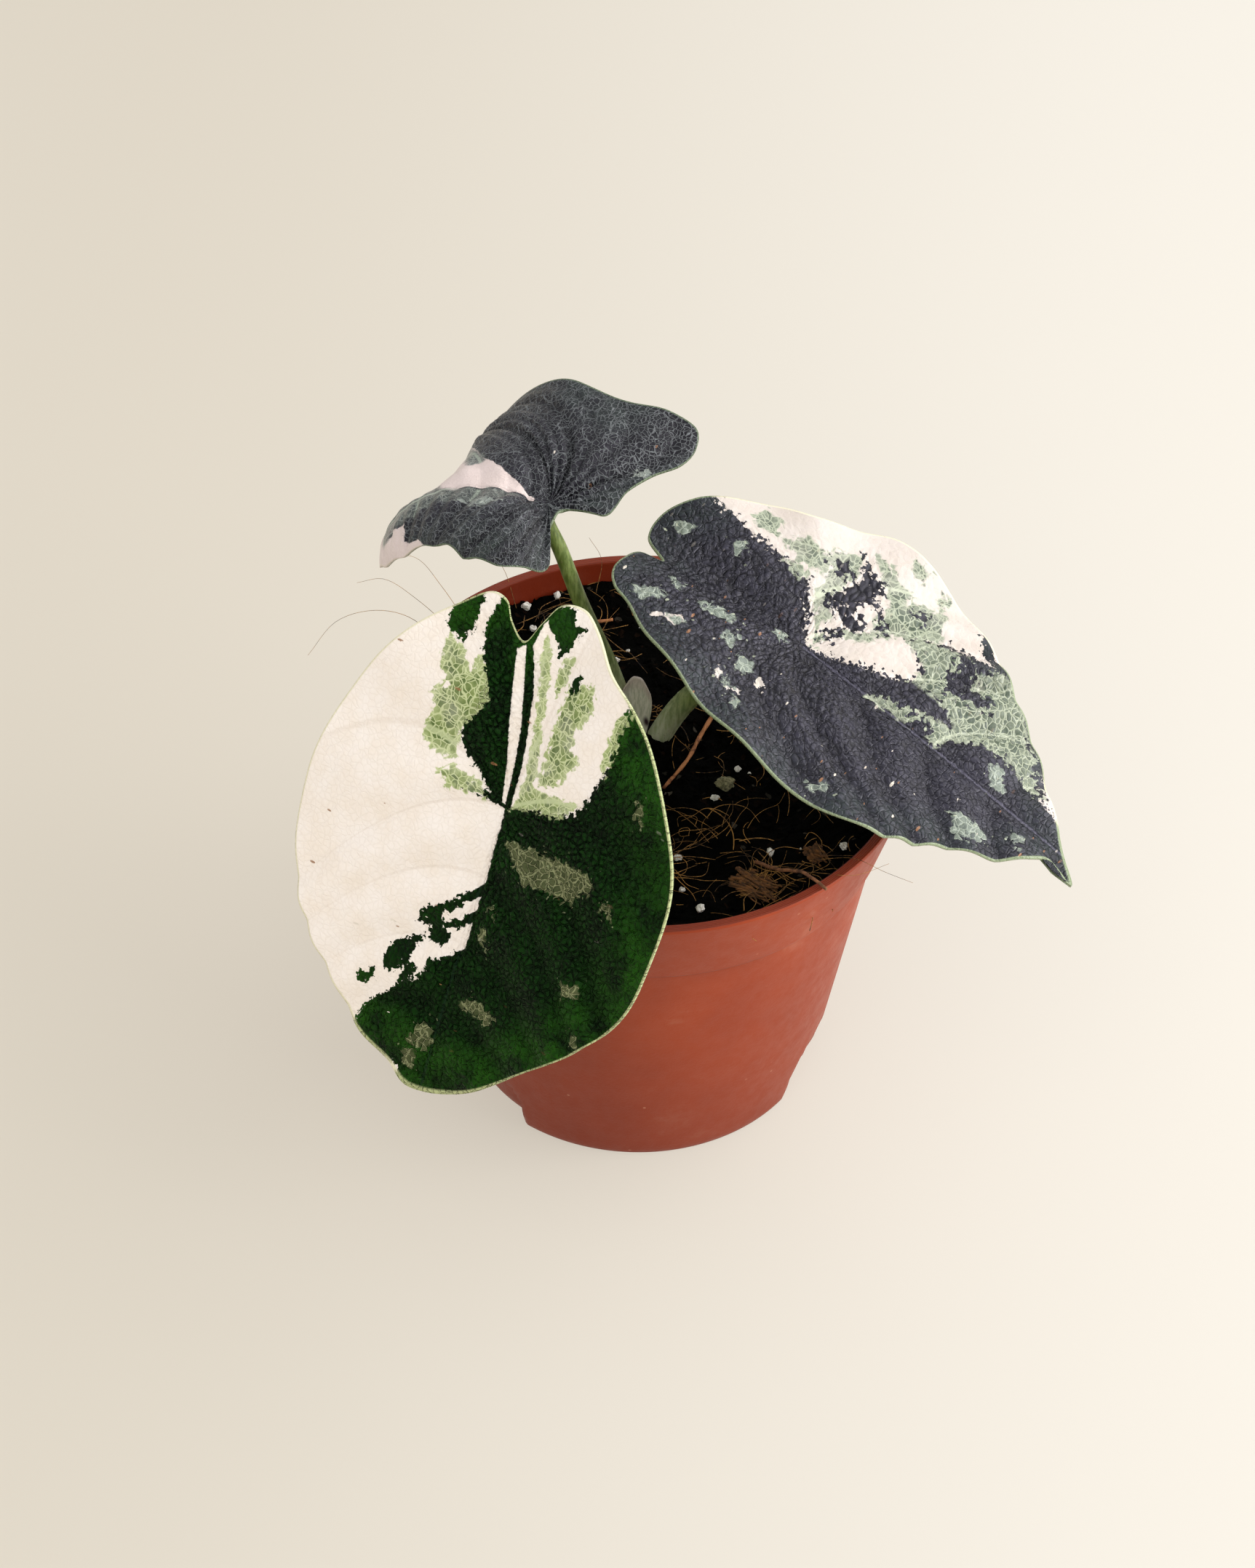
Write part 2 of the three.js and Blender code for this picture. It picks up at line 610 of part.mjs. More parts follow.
addPiece('pot', pot(), materials.pot);
addPiece('soil', soil(), materials.soil);
addPiece('rhizome', toGeometry(rhizome(0)), materials.root);
for (const [letter, leaf] of Object.entries(leaves)) {
  addPiece(`stalk_${letter}`, stem(stalks[letter]), materials.petiole);
  addPiece(`blade_${letter}`, blade(leaf), materials[leaf.material]);
}
addPiece('sheath', sheathSheet(0), materials.sheath);
roots.forEach((root, index) => addPiece(`surface_root_${index + 1}`, rootShape(root, 0), materials.root));
grains.forEach((grain, index) => addPiece(`perlite_${index + 1}`, grainShape(grain, 0), materials.perlite));
addPiece('twig', stem(twig), materials.root);
addPiece('pebble', grainShape(pebble, 0), materials.pebble);
chips.forEach((chip, index) => addPiece(`bark_chip_${index + 1}`, chipShape(chip, 0), materials.bark));

export default plant;
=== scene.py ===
"""A young variegated aroid in a moulded nursery pot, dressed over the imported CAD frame."""
import math

import bmesh
import bpy
import numpy as np
from mathutils import Matrix, Vector, noise


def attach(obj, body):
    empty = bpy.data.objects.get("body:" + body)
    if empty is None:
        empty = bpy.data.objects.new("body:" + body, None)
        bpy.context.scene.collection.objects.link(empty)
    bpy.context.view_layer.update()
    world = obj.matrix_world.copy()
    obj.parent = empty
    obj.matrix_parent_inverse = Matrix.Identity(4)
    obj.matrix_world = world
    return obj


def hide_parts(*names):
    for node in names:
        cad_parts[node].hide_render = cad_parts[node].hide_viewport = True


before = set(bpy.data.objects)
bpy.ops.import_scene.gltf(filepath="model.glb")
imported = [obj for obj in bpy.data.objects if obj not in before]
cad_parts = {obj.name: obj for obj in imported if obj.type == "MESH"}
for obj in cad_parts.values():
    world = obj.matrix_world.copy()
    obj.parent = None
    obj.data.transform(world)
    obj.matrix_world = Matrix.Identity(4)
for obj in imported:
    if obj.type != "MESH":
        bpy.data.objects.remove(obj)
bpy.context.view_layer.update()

# Blender's metres in a millimetre, and the scale of a pattern with one feature a millimetre
MM = 0.001
PER_MM = 1000

# Camera, placed as the photograph was taken; angles in degrees, lens and film in mm
CAMERA_ELEVATION = 44.74
CAMERA_ROLL = 1.82
CAMERA_DISTANCE = 1015 * MM
CAMERA_TARGET = Vector((-3.4, 31.6, 45.0)) * MM
LENS = 100
FILM_HEIGHT = 36

# The pot's sizes in mm, as in the CAD; an arch is a recess pressed into its foot
RIM_RADIUS = 60
POT_HEIGHT = 91.6
BASE_RADIUS = 42.8
COLLAR_HEIGHT = 19.3
COLLAR_FOOT_RADIUS = 54.9
SHOULDER_RADIUS = 53.6
WALL = 1.5
RIM_WIDTH = 2.6
POT_FLOOR = 2
ARCH_BEARINGS = (-20, 100, 220)
ARCH_WIDTH = 23
ARCH_HEIGHT = 15
ARCH_DEPTH = 3.2

# The floor is a ring here: one opening of this radius stands for the CAD's drain holes
FLOOR_OPENING = 30

# The soil, the crown and the blades in mm, as in the CAD
SOIL_LEVEL = 82
CROWN = (-0.5, 7.5)
GAP = 0.3
BLADE_THICKNESS = 1
MARGIN_THICKNESS = 0.7
PAD_RADIUS = 6
BLADE_RINGS = 96
SPOKES_PER_POINT = 18


def linear(hex_colour):
    """An sRGB hex colour as linear RGBA."""
    channels = [int(hex_colour[i:i + 2], 16) / 255 for i in (1, 3, 5)]
    return [c / 12.92 if c <= 0.04045 else ((c + 0.055) / 1.055) ** 2.4 for c in channels] + [1.0]


def give(tree, node, inputs):
    """Link each input whose value is a socket and set the others, a colour from its hex."""
    for key, value in inputs.items():
        if isinstance(value, bpy.types.NodeSocket):
            tree.links.new(value, node.inputs[key])
        else:
            node.inputs[key].default_value = linear(value) if isinstance(value, str) else value


def add_node(tree, kind, settings=None, inputs=None):
    """Add one node, set its properties and give it its inputs."""
    made = tree.nodes.new(kind)
    for key, value in (settings or {}).items():
        setattr(made, key, value)
    give(tree, made, inputs or {})
    return made


# What the materials are drawn with: a node's type and settings, its inputs in the order in which
# their values are given, and the output that is read
KINDS = {
    "place": ("ShaderNodeTexCoord", {}, (), "Object"),
    "attribute": ("ShaderNodeAttribute", {}, (), "Fac"),
    "stretch": ("ShaderNodeMapping", {}, ("Vector", "Scale", "Rotation"), 0),
    "noise": ("ShaderNodeTexNoise", {}, ("Vector", "Scale", "Detail", "Roughness"), "Fac"),
    "cells": ("ShaderNodeTexVoronoi", {}, ("Vector", "Scale"), "Distance"),
    "flat cells": ("ShaderNodeTexVoronoi", {"voronoi_dimensions": "2D"},
                   ("Vector", "Scale"), "Distance"),
    "net": ("ShaderNodeTexVoronoi", {"voronoi_dimensions": "2D", "feature": "DISTANCE_TO_EDGE"},
            ("Vector", "Scale"), "Distance"),
    "chance": ("ShaderNodeSeparateColor", {}, (0,), 0),
    "x": ("ShaderNodeSeparateXYZ", {}, (0,), 0),
    "scale": ("ShaderNodeVectorMath", {"operation": "SCALE"}, (0, "Scale"), 0),
    "shift": ("ShaderNodeVectorMath", {"operation": "ADD"}, (0, 1), 0),
    "ramp": ("ShaderNodeMapRange", {"interpolation_type": "SMOOTHSTEP"}, (0, 1, 2, 3, 4), 0),
    "mix": ("ShaderNodeMix", {"data_type": "RGBA"}, (0, 6, 7), 2),
    "bump": ("ShaderNodeBump", {}, ("Height", "Distance", "Normal"), 0),
}
for operation in ("ADD", "SUBTRACT", "MULTIPLY", "DIVIDE", "MAXIMUM", "SQRT", "SINE"):
    KINDS[operation] = ("ShaderNodeMath", {"operation": operation}, (0, 1), 0)


class Surface:
    """A material that is drawn node by node."""

    def __init__(self, name):
        self.material = bpy.data.materials.new(name)
        self.material.use_nodes = True
        self.tree = self.material.node_tree
        self.shader = self.tree.nodes["Principled BSDF"]

    def add(self, kind, *values, **settings):
        """Add a node of one of the KINDS and hand back the output that is read."""
        node_type, fixed, keys, output = KINDS[kind]
        made = add_node(self.tree, node_type, {**fixed, **settings}, dict(zip(keys, values)))
        return made.outputs[output]

    def finish(self, colour, roughness, normal, **others):
        """Give the shader its colour, roughness and relief, and any other inputs by their names."""
        inputs = {"Base Color": colour, "Roughness": roughness, "Normal": normal}
        inputs.update((key.replace("_", " "), value) for key, value in others.items())
        give(self.tree, self.shader, inputs)
        return self.material


def make_piece(name, points_mm, faces, material):
    """A smoothly shaded mesh from points in mm."""
    mesh = bpy.data.meshes.new(name)
    points = np.asarray(points_mm, dtype=float) * MM
    mesh.from_pydata(points.tolist(), [], faces.tolist() if hasattr(faces, "tolist") else faces)
    mesh.materials.append(material)
    mesh.polygons.foreach_set("use_smooth", [True] * len(mesh.polygons))
    mesh.update()
    piece = bpy.data.objects.new(name, mesh)
    bpy.context.collection.objects.link(piece)
    return piece


def store(piece, name, values):
    """Give each point of a piece a value for its material to read."""
    layer = piece.data.attributes.new(name, "FLOAT", "POINT")
    layer.data.foreach_set("value", np.asarray(values, dtype=np.float32))


def store_vector(piece, name, values):
    layer = piece.data.attributes.new(name, "FLOAT_VECTOR", "POINT")
    layer.data.foreach_set("vector", np.asarray(values, dtype=np.float32).ravel())


def settle(piece, slot, *nodes):
    """The piece rides on the plant's one body and stands for its CAD nodes, which are hidden; slot
    is not used.
    """
    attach(piece, "root")
    if nodes:
        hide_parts(*nodes)


# Blades. Outlines and markings are drawn flat in mm from the stalk's attachment: u towards the
# apex, v to the right of it as seen on the upper face. Ribs leave the attachment at a rise, droop
# by a bend for each mm and swing sideways by a turn, in degrees; each is read at eight bearings,
# every 45 degrees from the apex towards the right. The side ribs leave the midrib a pitch apart and
# sweep towards the apex; behind the attachment they fan out, a lobe pitch in degrees apart. The
# skin swells between them by a quilt. A fold has a slope, where it starts and how long it takes.
# The skin's puckers have a length along the ribs, a width across them and a depth; a pleat is the
# depth of the finer folds between the ribs, and a wave that of the margin's waves.
# Cream lies over the green, sage over the cream, dark islands over both, and flecks over the dark;
# where the blade is steady their edges are smooth.

LEAF_A = {
    "attachment": (-28.4, -45.5, 113),
    "heading": -125,
    "dip": 60,
    "rise": (0, 7, 10, 7, 0, 7, 10, 7),
    "bend": (0.12, 0.15, 0.15, 0.12, 0.1, 0.12, 0.15, 0.15),
    "turn": (0, 0, 0, 0, 0, 0, 0, 0),
    "quilt": 1.2,
    "pitch": 16,
    "sweep": 0.022,
    "lobe_pitch": 42,
    "fold": (0, 0, 10),
    "wave": 0.8,
    "pucker": (2.0, 1.3, 0.3),
    "pleat": 0,
    "outline": (
        (-35, 8.5), (-38, 12.5), (-41.5, 15), (-42, 18.5), (-37, 24.5), (-29, 32), (-15, 40),
        (-2, 44), (12, 45.5), (26, 44), (38, 39), (48, 32.5), (56, 25), (62, 18), (65.5, 10),
        (69, 3), (67, -5), (62, -13), (52, -23), (40, -35), (27, -43.5), (14, -46), (1, -45.5),
        (-10, -42), (-19, -37), (-27, -29.5), (-34, -21), (-38, -13), (-43, -6), (-46, -1),
        (-45, 4), (-40, 6.5),
    ),
    "cream": (
        ((0, 0.2), (8, -0.4), (16, -1), (24, -1.1), (33, -1), (39, 5), (46, 9), (53, 16), (60, 19),
         (63, 20), (66, 6), (72, 8), (60, 30), (38, 46), (10, 52), (-20, 44), (-40, 26), (-31, 25),
         (-26, 24), (-22, 22), (-14, 24), (-8, 22), (-3, 19), (-1, 10), (0, 4)),
        ((-48, 2), (-44, -8), (-38, -15), (-34, -21), (-28, -20), (-20, -21), (-12, -19), (-7, -17),
         (-5, -12), (-1, -0.9), (-9.6, -0.3), (-17, 1.1), (-25, 3), (-31, 4.9), (-35, 6.6),
         (-40, 6)),
        ((-1, 0.5), (-9.6, 1.5), (-17, 2.8), (-25, 5), (-34.5, 7.8), (-33, 9.4), (-26, 7.7),
         (-17, 5.4), (-9.6, 3.3), (-1, 1.5)),
        ((-43, 16), (-36, 17), (-31, 17), (-25, 16), (-22, 18), (-27, 20.5), (-31, 19.5),
         (-42, 20)),
        ((-13, 15), (-5, 8), (-2, 5), (0, 10), (-2, 18), (-10, 20)),
        ((-33, 16), (-24, 13), (-12, 14), (-4, 7), (0, 6), (0, 24), (-10, 28), (-31, 29)),
    ),
    "sage": (
        ((-9, -17), (-5, -14), (-3, -7), (0, -1), (-7, -2.4), (-8, -8)),
        ((-33, -11), (-29, -13), (-25, -11), (-20, -11), (-18, -14), (-16, -13), (-10, -10),
         (-8, -6), (-20, -5), (-28, -4), (-31, -6)),
        ((-38, 4.6), (-34, 2), (-28, 0.4), (-20, -1.6), (-14, -3.6), (-8, -5.6), (-4, -5.6),
         (-2, -2.2), (-8, -1.8), (-14, -0.9), (-20, 0.4), (-28, 2.4), (-33, 4.6)),
        ((-36, -3), (-30, -4), (-27, -2), (-31, -0.5), (-35, -1)),
        ((-29, 16), (-21, 11), (-17, 12), (-12, 15), (-6, 14), (-5, 20), (-8, 24), (-13, 22),
         (-17, 24), (-20, 21), (-23, 24), (-30, 25), (-28, 20), (-24, 17)),
        ((-3, 6), (0, 5), (0.5, 14), (-2, 17), (-4, 14)),
        ((-34, -22), (-30, -21.5), (-25, -21), (-18, -21), (-20, -19), (-31, -19)),
    ),
    "dark": (
        ((-46, 1.5), (-44.6, 3.6), (-42, 5.8), (-39.6, 5), (-37.7, 2), (-34.6, 0.4), (-38, -1.5),
         (-43, -2.9), (-42.3, -0.4)),
        ((-34, -6), (-31, -7.5), (-29, -5.5), (-31, -4.2)),
        ((-1, -0.8), (-9.6, -0.2), (-17, 1.2), (-25, 3.1), (-34.2, 6.7), (-33.8, 7.6), (-25, 5),
         (-17, 2.8), (-9.6, 1.5), (-1, 0.5)),
        ((-1, 1.5), (-9.6, 3.3), (-17, 5.4), (-26, 7.7), (-34, 9.6), (-42, 15), (-36.5, 16.8),
         (-30, 16.4), (-25, 13), (-21, 10.6), (-18.5, 9.6), (-17, 11.6), (-14, 14.2), (-10.4, 14.6),
         (-8, 12.7), (-6, 9.6), (-5, 6), (-3, 3.5)),
        ((-40, 20.5), (-34, 20.5), (-29.5, 21), (-31, 25.5), (-34, 26), (-38, 23.5)),
        ((16, -2), (20, -1.4), (22, 0.8), (26.5, 4.6), (28.4, 6.2), (29.2, 5), (27, 2.4),
         (23, -1.6), (26, -1.6), (29, 1.6), (30.6, 4.6), (32, 3), (33.8, 3), (34.8, 5), (34.8, 8.2),
         (32, 8), (31.8, 11), (28.6, 10.6), (26.2, 8.2), (24.6, 5.4), (20.6, 2.2)),
        ((34, 8.6), (38, 9.8), (42.4, 10.8), (45.6, 14.2), (45, 15.8), (41.6, 16.2), (38.6, 15),
         (36.4, 12.4)),
        ((46, 17.4), (48.6, 17.4), (51.4, 19.2), (50.8, 21), (49, 21.4), (48.2, 19.2)),
        ((29, -3), (33.5, -0.6), (36.5, 1), (38.4, 3.6), (38.8, 6.8), (40.2, 6.2), (41, 4.4),
         (44, 5.4), (47, 7.4), (50, 8.8), (51.4, 7.8), (49.6, 5.8), (46.4, 3), (50, 3.4), (54, 4.8),
         (58, 5.2), (58, -3)),
        ((53, 5), (58, 4.6), (61, 6), (63.8, 8), (64.8, 10), (63.6, 14), (62, 17), (59, 18.8),
         (55.6, 18), (53, 15.4), (50.4, 13), (52, 12.2), (55, 13.4), (57, 12.4), (55.4, 10.4),
         (51.6, 9.2), (51, 7.4), (53.6, 8), (55, 7)),
        ((40.6, 9.6), (41.6, 8.2), (46, 8.8), (49.4, 10.4), (51.4, 12.4), (50, 13.4), (47.4, 11.6),
         (44, 11.4)),
    ),
    "fleck": (
        ((3, -27), (5, -28), (7, -26), (9, -24), (11, -24), (10.5, -17), (12, -11), (10, -7),
         (7, -3), (5.5, -4), (5, -9), (4, -15), (3, -20)),
        ((26, -31), (28.5, -31.5), (29.5, -28.5), (27, -27.5)),
        ((42.5, -10), (44, -14), (46, -12), (45, -4), (42.5, -5)),
        ((-17, -32), (-13.5, -33), (-14, -30.5), (-17, -30.5)),
        ((6.5, -33), (8.5, -34), (8, -31), (6.5, -31)),
        ((36, -35), (39, -36), (39.5, -34), (37, -33.5)),
        ((26, -5), (30, -6), (29, -4), (26.5, -4)),
        ((21, -5.5), (23, -6.2), (22, -4)),
        ((53, 1), (58, 0.6), (60, 3), (58, 5.6), (54, 4)),
        ((60, 2.6), (65, 4), (63, 7), (60, 5)),
    ),
    "steady": (
        ((-46, 4), (-20, -2), (-1, -2), (0, 3), (-4, 6), (-18, 11), (-32, 14), (-46, 17)),
        ((-2, -3), (-2, 2.4), (10, 2), (30, 1), (36, 0.6), (36, -4), (16, -3.4)),
    ),
}

LEAF_B = {
    "attachment": (32.9, 1.8, 118),
    "heading": -30,
    "dip": 20,
    "rise": (0, 7, 10, 7, 0, 7, 10, 7),
    "bend": (0.1, 0.2, 0.25, 0.2, 0.1, 0.2, 0.25, 0.2),
    "turn": (0, 0, 0, 0, 0, 0, 0, 0),
    "quilt": 1.3,
    "pitch": 18,
    "sweep": 0.045,
    "lobe_pitch": 42,
    "fold": (0, 0, 10),
    "wave": 0.9,
    "pucker": (3.0, 1.3, 0.34),
    "pleat": 0,
    "outline": (
        (-35, 3), (-40, 5), (-41.5, 10), (-41.5, 15), (-39, 18.5), (-34, 20.5), (-26, 26),
        (-15, 30.5), (-4, 34), (10, 36), (25, 35.5), (36, 32.5), (45, 26), (53, 18.5), (61, 14),
        (67, 8), (71.5, 3.5), (78, 5.5), (72, -1), (65, -8), (56, -16.5), (45, -23.5), (34, -29.5),
        (23, -34.5), (11, -37.5), (1, -38), (-7, -33.5), (-15, -29), (-23, -26.5), (-32, -21),
        (-38.5, -15), (-42, -8), (-41, -1),
    ),
    "cream": (
        ((0, 0), (-2, -6), (-4, -10), (-8, -14.5), (-20, -15.5), (-32, -17), (-36, -18), (-28, -26),
         (-14, -33), (0, -42), (14, -42), (30, -35), (37, -29), (36, -25), (30, -24.5), (24, -23),
         (17, -18), (22, -15.5), (25, -13), (22, -9), (16, -6), (10, -3), (3, -1)),
        ((34, -22), (37, -21), (37, -18.5), (34.5, -19)),
        ((50, -19), (58, -14), (66, -9), (70, -5), (62, -6.5), (55, -14)),
        ((-26.4, 17.4), (-23.6, 15.2), (-22, 16.4), (-23.2, 18.8), (-25, 18.8)),
        ((-29.2, 20), (-27.4, 17.4), (-26.4, 18.4), (-28.2, 20.2)),
        ((-10.6, 21.2), (-8.6, 22.4), (-8.4, 24.4), (-9.8, 24)),
        ((-6, 24.8), (-3, 22.8), (-2.8, 24.4)),
        ((-2.2, 16.2), (-0.4, 16.2), (-0.6, 19.4), (-1.8, 19)),
    ),
    "sage": (
        ((-27, -20), (-25, -24), (-21, -23.5), (-19.5, -19), (-24, -18)),
        ((-18, -19), (-14, -23), (-7, -23), (-6, -19), (-10, -17), (-15, -18)),
        ((7, -36), (13, -36), (12, -32), (9, -33)),
        ((16, -35), (20, -35), (19, -30), (17, -32)),
        ((-8, -25), (-2, -29), (0, -24), (-1, -19), (-1, -13), (2, -9), (-1, -8), (-5, -13),
         (-5, -18)),
        ((0, -31), (4, -31), (8, -29), (12, -29), (12, -25), (16, -29), (21, -29), (23, -24),
         (20, -20), (16, -17), (12, -14), (9, -16), (10, -21), (6, -25)),
        ((2, -0.5), (4, -6), (8, -9), (13, -13), (16, -16), (12, -16), (8, -12), (1, -6),
         (-1, -9)),
        ((16, -17), (24, -22), (30, -23), (36, -25), (42, -26), (50, -20.5), (58, -14.5), (63, -9),
         (60, -7), (52, -9), (44, -8), (38, -4), (36, -0.5), (18, 0.2), (20, -3), (28, -5),
         (36, -8), (31, -10), (23, -9.5), (24, -14)),
        ((-8, -15), (-12, -17), (-16, -15), (-10, -13.5)),
    ),
    "dark": (
        ((29, -23), (35.5, -25), (34, -22), (34, -19), (40, -19), (41, -16), (35, -15), (31, -13),
         (29, -16)),
        ((10, -3), (18, -6), (22, -8), (32, -10), (36, -8), (30, -5.5), (27, -3.5), (20, -2),
         (14, 0), (3, 0)),
        ((28, 0), (29, -4), (33, -4), (34, 0)),
        ((35.5, 1), (40, -5), (44, -8.5), (52, -9.5), (58, -8), (66, -5), (70, -2), (68, 2),
         (50, 3)),
        ((-2, -29), (1, -27), (5, -26), (7, -23), (6, -20), (9, -19), (5, -18), (4, -15), (0, -14),
         (-2, -16), (0, -20), (1, -24)),
        ((-3, -15), (4, -15), (9, -14), (8, -11), (4, -10), (2, -12), (-1, -12)),
        ((15, -26), (17.5, -26.5), (18, -24), (15.5, -23)),
        ((10, -18), (13, -16), (12, -14.5), (10, -15.5)),
        ((2, -8), (6, -9), (5, -6), (2, -5)),
        ((29, -32), (34, -30), (38, -26), (34, -26), (31, -29)),
        ((51, -19.5), (57, -15), (62, -10), (60, -9), (55, -15)),
        ((-7, -22), (-4, -24.5), (0, -23), (-3, -21)),
        ((-6, -3), (-1, -3), (2, 0), (-4, 3)),
    ),
    "fleck": (
        ((-31, 6.5), (-27, 6), (-27, 8.4), (-30, 9)),
        ((-23, 9), (-20, 6.5), (-14, 5.6), (-15, 8.4), (-19, 9.4)),
        ((-14, 11), (-11, 10.5), (-11, 14.6), (-14, 14)),
        ((-9, 14.5), (-5, 14), (-4, 17), (-7, 19)),
        ((-36, 16), (-32, 12.5), (-28, 12), (-30, 15), (-33, 18)),
        ((-26, 17), (-22, 16), (-22.5, 18.5), (-25, 18)),
        ((-7, 1), (-5, 0), (-1.5, 1.6), (-4, 2.6)),
        ((48, 12.5), (51, 9.6), (57, 11), (56, 14), (52, 16)),
        ((-5, 26), (-2, 25.5), (-1.5, 28), (-4, 28)),
        ((20, 31), (24, 30), (25, 32), (21, 33)),
        ((61, 5.5), (63, 4), (64, 8), (62, 8)),
        ((48, -6), (51, -7), (54, -3), (51, -2.4)),
        ((-25, -12), (-22, -12), (-22.5, -9), (-24.5, -9.5)),
        ((-38, -8), (-35, -9), (-35.5, -6.5), (-38, -6)),
        ((-10, 23), (-6, 23), (-4, 24), (-7, 24.6)),
    ),
    "steady": (
        ((-40, 12), (-30, 13), (0, 14), (0, 26), (-12, 26), (-30, 22)),
    ),
}

LEAF_C = {
    "attachment": (-22.3, 9.1, 150),
    "heading": 168,
    "dip": -3,
    "rise": (18, 27, 22, 20, 9, 0, 50, 45),
    "bend": (2.1, 2.4, 0.6, 0.3, 1.2, 3.1, 4.4, 3.8),
    "turn": (0, 0, -2, 0, 0, 31, 8, 0),
    "quilt": 1.2,
    "pitch": 15,
    "sweep": 0.03,
    "lobe_pitch": 30,
    "fold": (1, 18, 10),
    "wave": 0.5,
    "pucker": (2.4, 2.0, 0.1),
    "pleat": 0.75,
    "outline": (
        (53.5, -0.5), (44, -9.6), (32, -14.6), (21, -18.8), (12, -24), (3, -25), (-4.5, -21),
        (-9.5, -15.5), (-11, -10.5), (-8, -7), (-4.5, -3.5), (-3.5, -0.6), (-8.5, 0.2), (-13, 0.4),
        (-16.5, 5), (-21, 10.6), (-26, 14.8), (-28.2, 19.5), (-27.4, 24.6), (-21, 27), (-13, 27.4),
        (-4, 30.6), (6, 34.4), (18, 36.6), (28, 28.5), (34.5, 12), (41, 5), (48, 2.4),
    ),
    "cream": (
        ((3, 0), (20, -0.5), (33, -3), (44, -5), (33, -5.6), (34, -9.5), (31.5, -12.6), (29, -13.4),
         (27, -18), (60, -18), (60, 14), (36, 24), (27, 34), (25, 27), (22, 18), (17, 10),
         (10, 4.5)),
    ),
    "sage": (
        ((15.5, 8.6), (19, 7.2), (21.5, 10), (24, 18), (25, 24), (20, 14.6)),
        ((7, -1.5), (8, -5), (14, -6.5), (24, -5), (34, -5), (43, -5), (46, -2), (44, 4), (36, 6),
         (28, 5), (24, 1), (20, -0.6), (10, -0.6)),
    ),
    "dark": (),
    "fleck": (
        ((-20, 9), (-17, 9), (-17, 11), (-19, 11.5)),
        ((10, -9), (15, -9), (18, -6), (12, -6)),
    ),
    "steady": (
        ((-2, 4), (8, -2), (44, -7), (56, 8), (30, 34), (14, 20)),
    ),
}


def read_around(readings, angle):
    """Smooth values at angles between the eight readings round the attachment."""
    readings = np.asarray(readings, dtype=float)
    count = len(readings)
    place = (angle / (2 * math.pi)) % 1 * count
    index = np.floor(place).astype(int) % count
    part = place - np.floor(place)
    before, here, after, beyond = (readings[(index + step) % count] for step in (-1, 0, 1, 2))
    leave = (after - before) / 2
    arrive = (beyond - here) / 2
    cube, square = part ** 3, part ** 2
    return ((2 * cube - 3 * square + 1) * here + (cube - 2 * square + part) * leave
            + (3 * square - 2 * cube) * after + (cube - square) * arrive)


def blade_axes(leaf):
    """Directions from the attachment: towards the apex, to its right, and out of the upper face."""
    heading, dip = math.radians(leaf["heading"]), math.radians(leaf["dip"])
    apex = np.array((math.cos(heading) * math.cos(dip), math.sin(heading) * math.cos(dip),
                     -math.sin(dip)))
    side = np.cross(apex, (0, 0, 1))
    side /= np.linalg.norm(side)
    return apex, side, np.cross(side, apex)


def rib_phase(leaf, u, v):
    """Counts the side ribs passed, a whole number on each, and gives the bearing to the midrib."""
    along = u - leaf["sweep"] * v * v
    angle = np.degrees(np.arctan2(np.abs(v), along))
    return np.where(angle > 90, (angle - 90) / leaf["lobe_pitch"], along / leaf["pitch"]), angle


def rib_swell(phase):
    """How far the skin stands up between the side ribs: 0 on a rib, 1 midway to the next."""
    return np.abs(np.sin(math.pi * phase)) ** 1.4


def quilting(leaf, u, v, reach):
    """The blade swells between its side ribs and dips softly along them."""
    phase = rib_phase(leaf, u, v)[0]
    away = 1 - np.exp(-((reach / (2 * PAD_RADIUS)) ** 2))
    midrib = 1 - np.exp(-((v / 3) ** 2))
    return leaf["quilt"] * away * midrib * rib_swell(phase)


def fold_drop(leaf, u, v):
    """Near its apex a blade may be folded down along the midrib on its right-hand side."""
    slope, start, over = leaf["fold"]
    ramp = np.clip((u - start - 0.15 * v) / over, 0, 1)
    off = np.where(v > 0, np.sqrt(v * v + 4) - 2, 0)
    return slope * off * ramp ** 2 * (3 - 2 * ramp)


def rib_distance(leaf, u, v, reach):
    """How far each point lies from the nearest side rib, in mm."""
    phase, angle = rib_phase(leaf, u, v)
    off = np.abs(phase - np.round(phase))
    return np.where(angle > 90, off * math.radians(leaf["lobe_pitch"]) * reach, off * leaf["pitch"])


def pucker_place(u, v):
    """Distances in mm out along the side ribs and across them, with the blade's halves apart."""
    out = np.abs(v)
    across = u - 0.4 * np.tanh(u / 40) * out
    return out, across + np.where(v > 0, 0.0, 90.0)


def puckers(u, v, length, width, seed):
    """Height of the skin's small puckers: 0 in the furrows round them, 1 on their tops."""
    table = 256
    jitter = np.random.default_rng(seed).random((table, table, 2))
    out, across = pucker_place(u, v)
    x = (out + 0.5 * np.sin(across * 0.9 + 1.7 * np.sin(out * 0.4))) / length
    y = (across + 0.4 * np.sin(out * 0.8 + 1.9 * np.sin(across * 0.5))) / width
    column, row = np.floor(x).astype(int), np.floor(y).astype(int)
    nearest = np.full(len(x), np.inf)
    second = np.full(len(x), np.inf)
    for i in (-1, 0, 1):
        for j in (-1, 0, 1):
            spot = jitter[(column + i) % table, (row + j) % table]
            away = np.hypot(column + i + spot[:, 0] - x, row + j + spot[:, 1] - y)
            second = np.where(away < nearest, nearest, np.minimum(second, away))
            nearest = np.minimum(nearest, away)
    rise = np.clip((second - nearest) / 0.42, 0, 1)
    return rise ** 2 * (3 - 2 * rise)


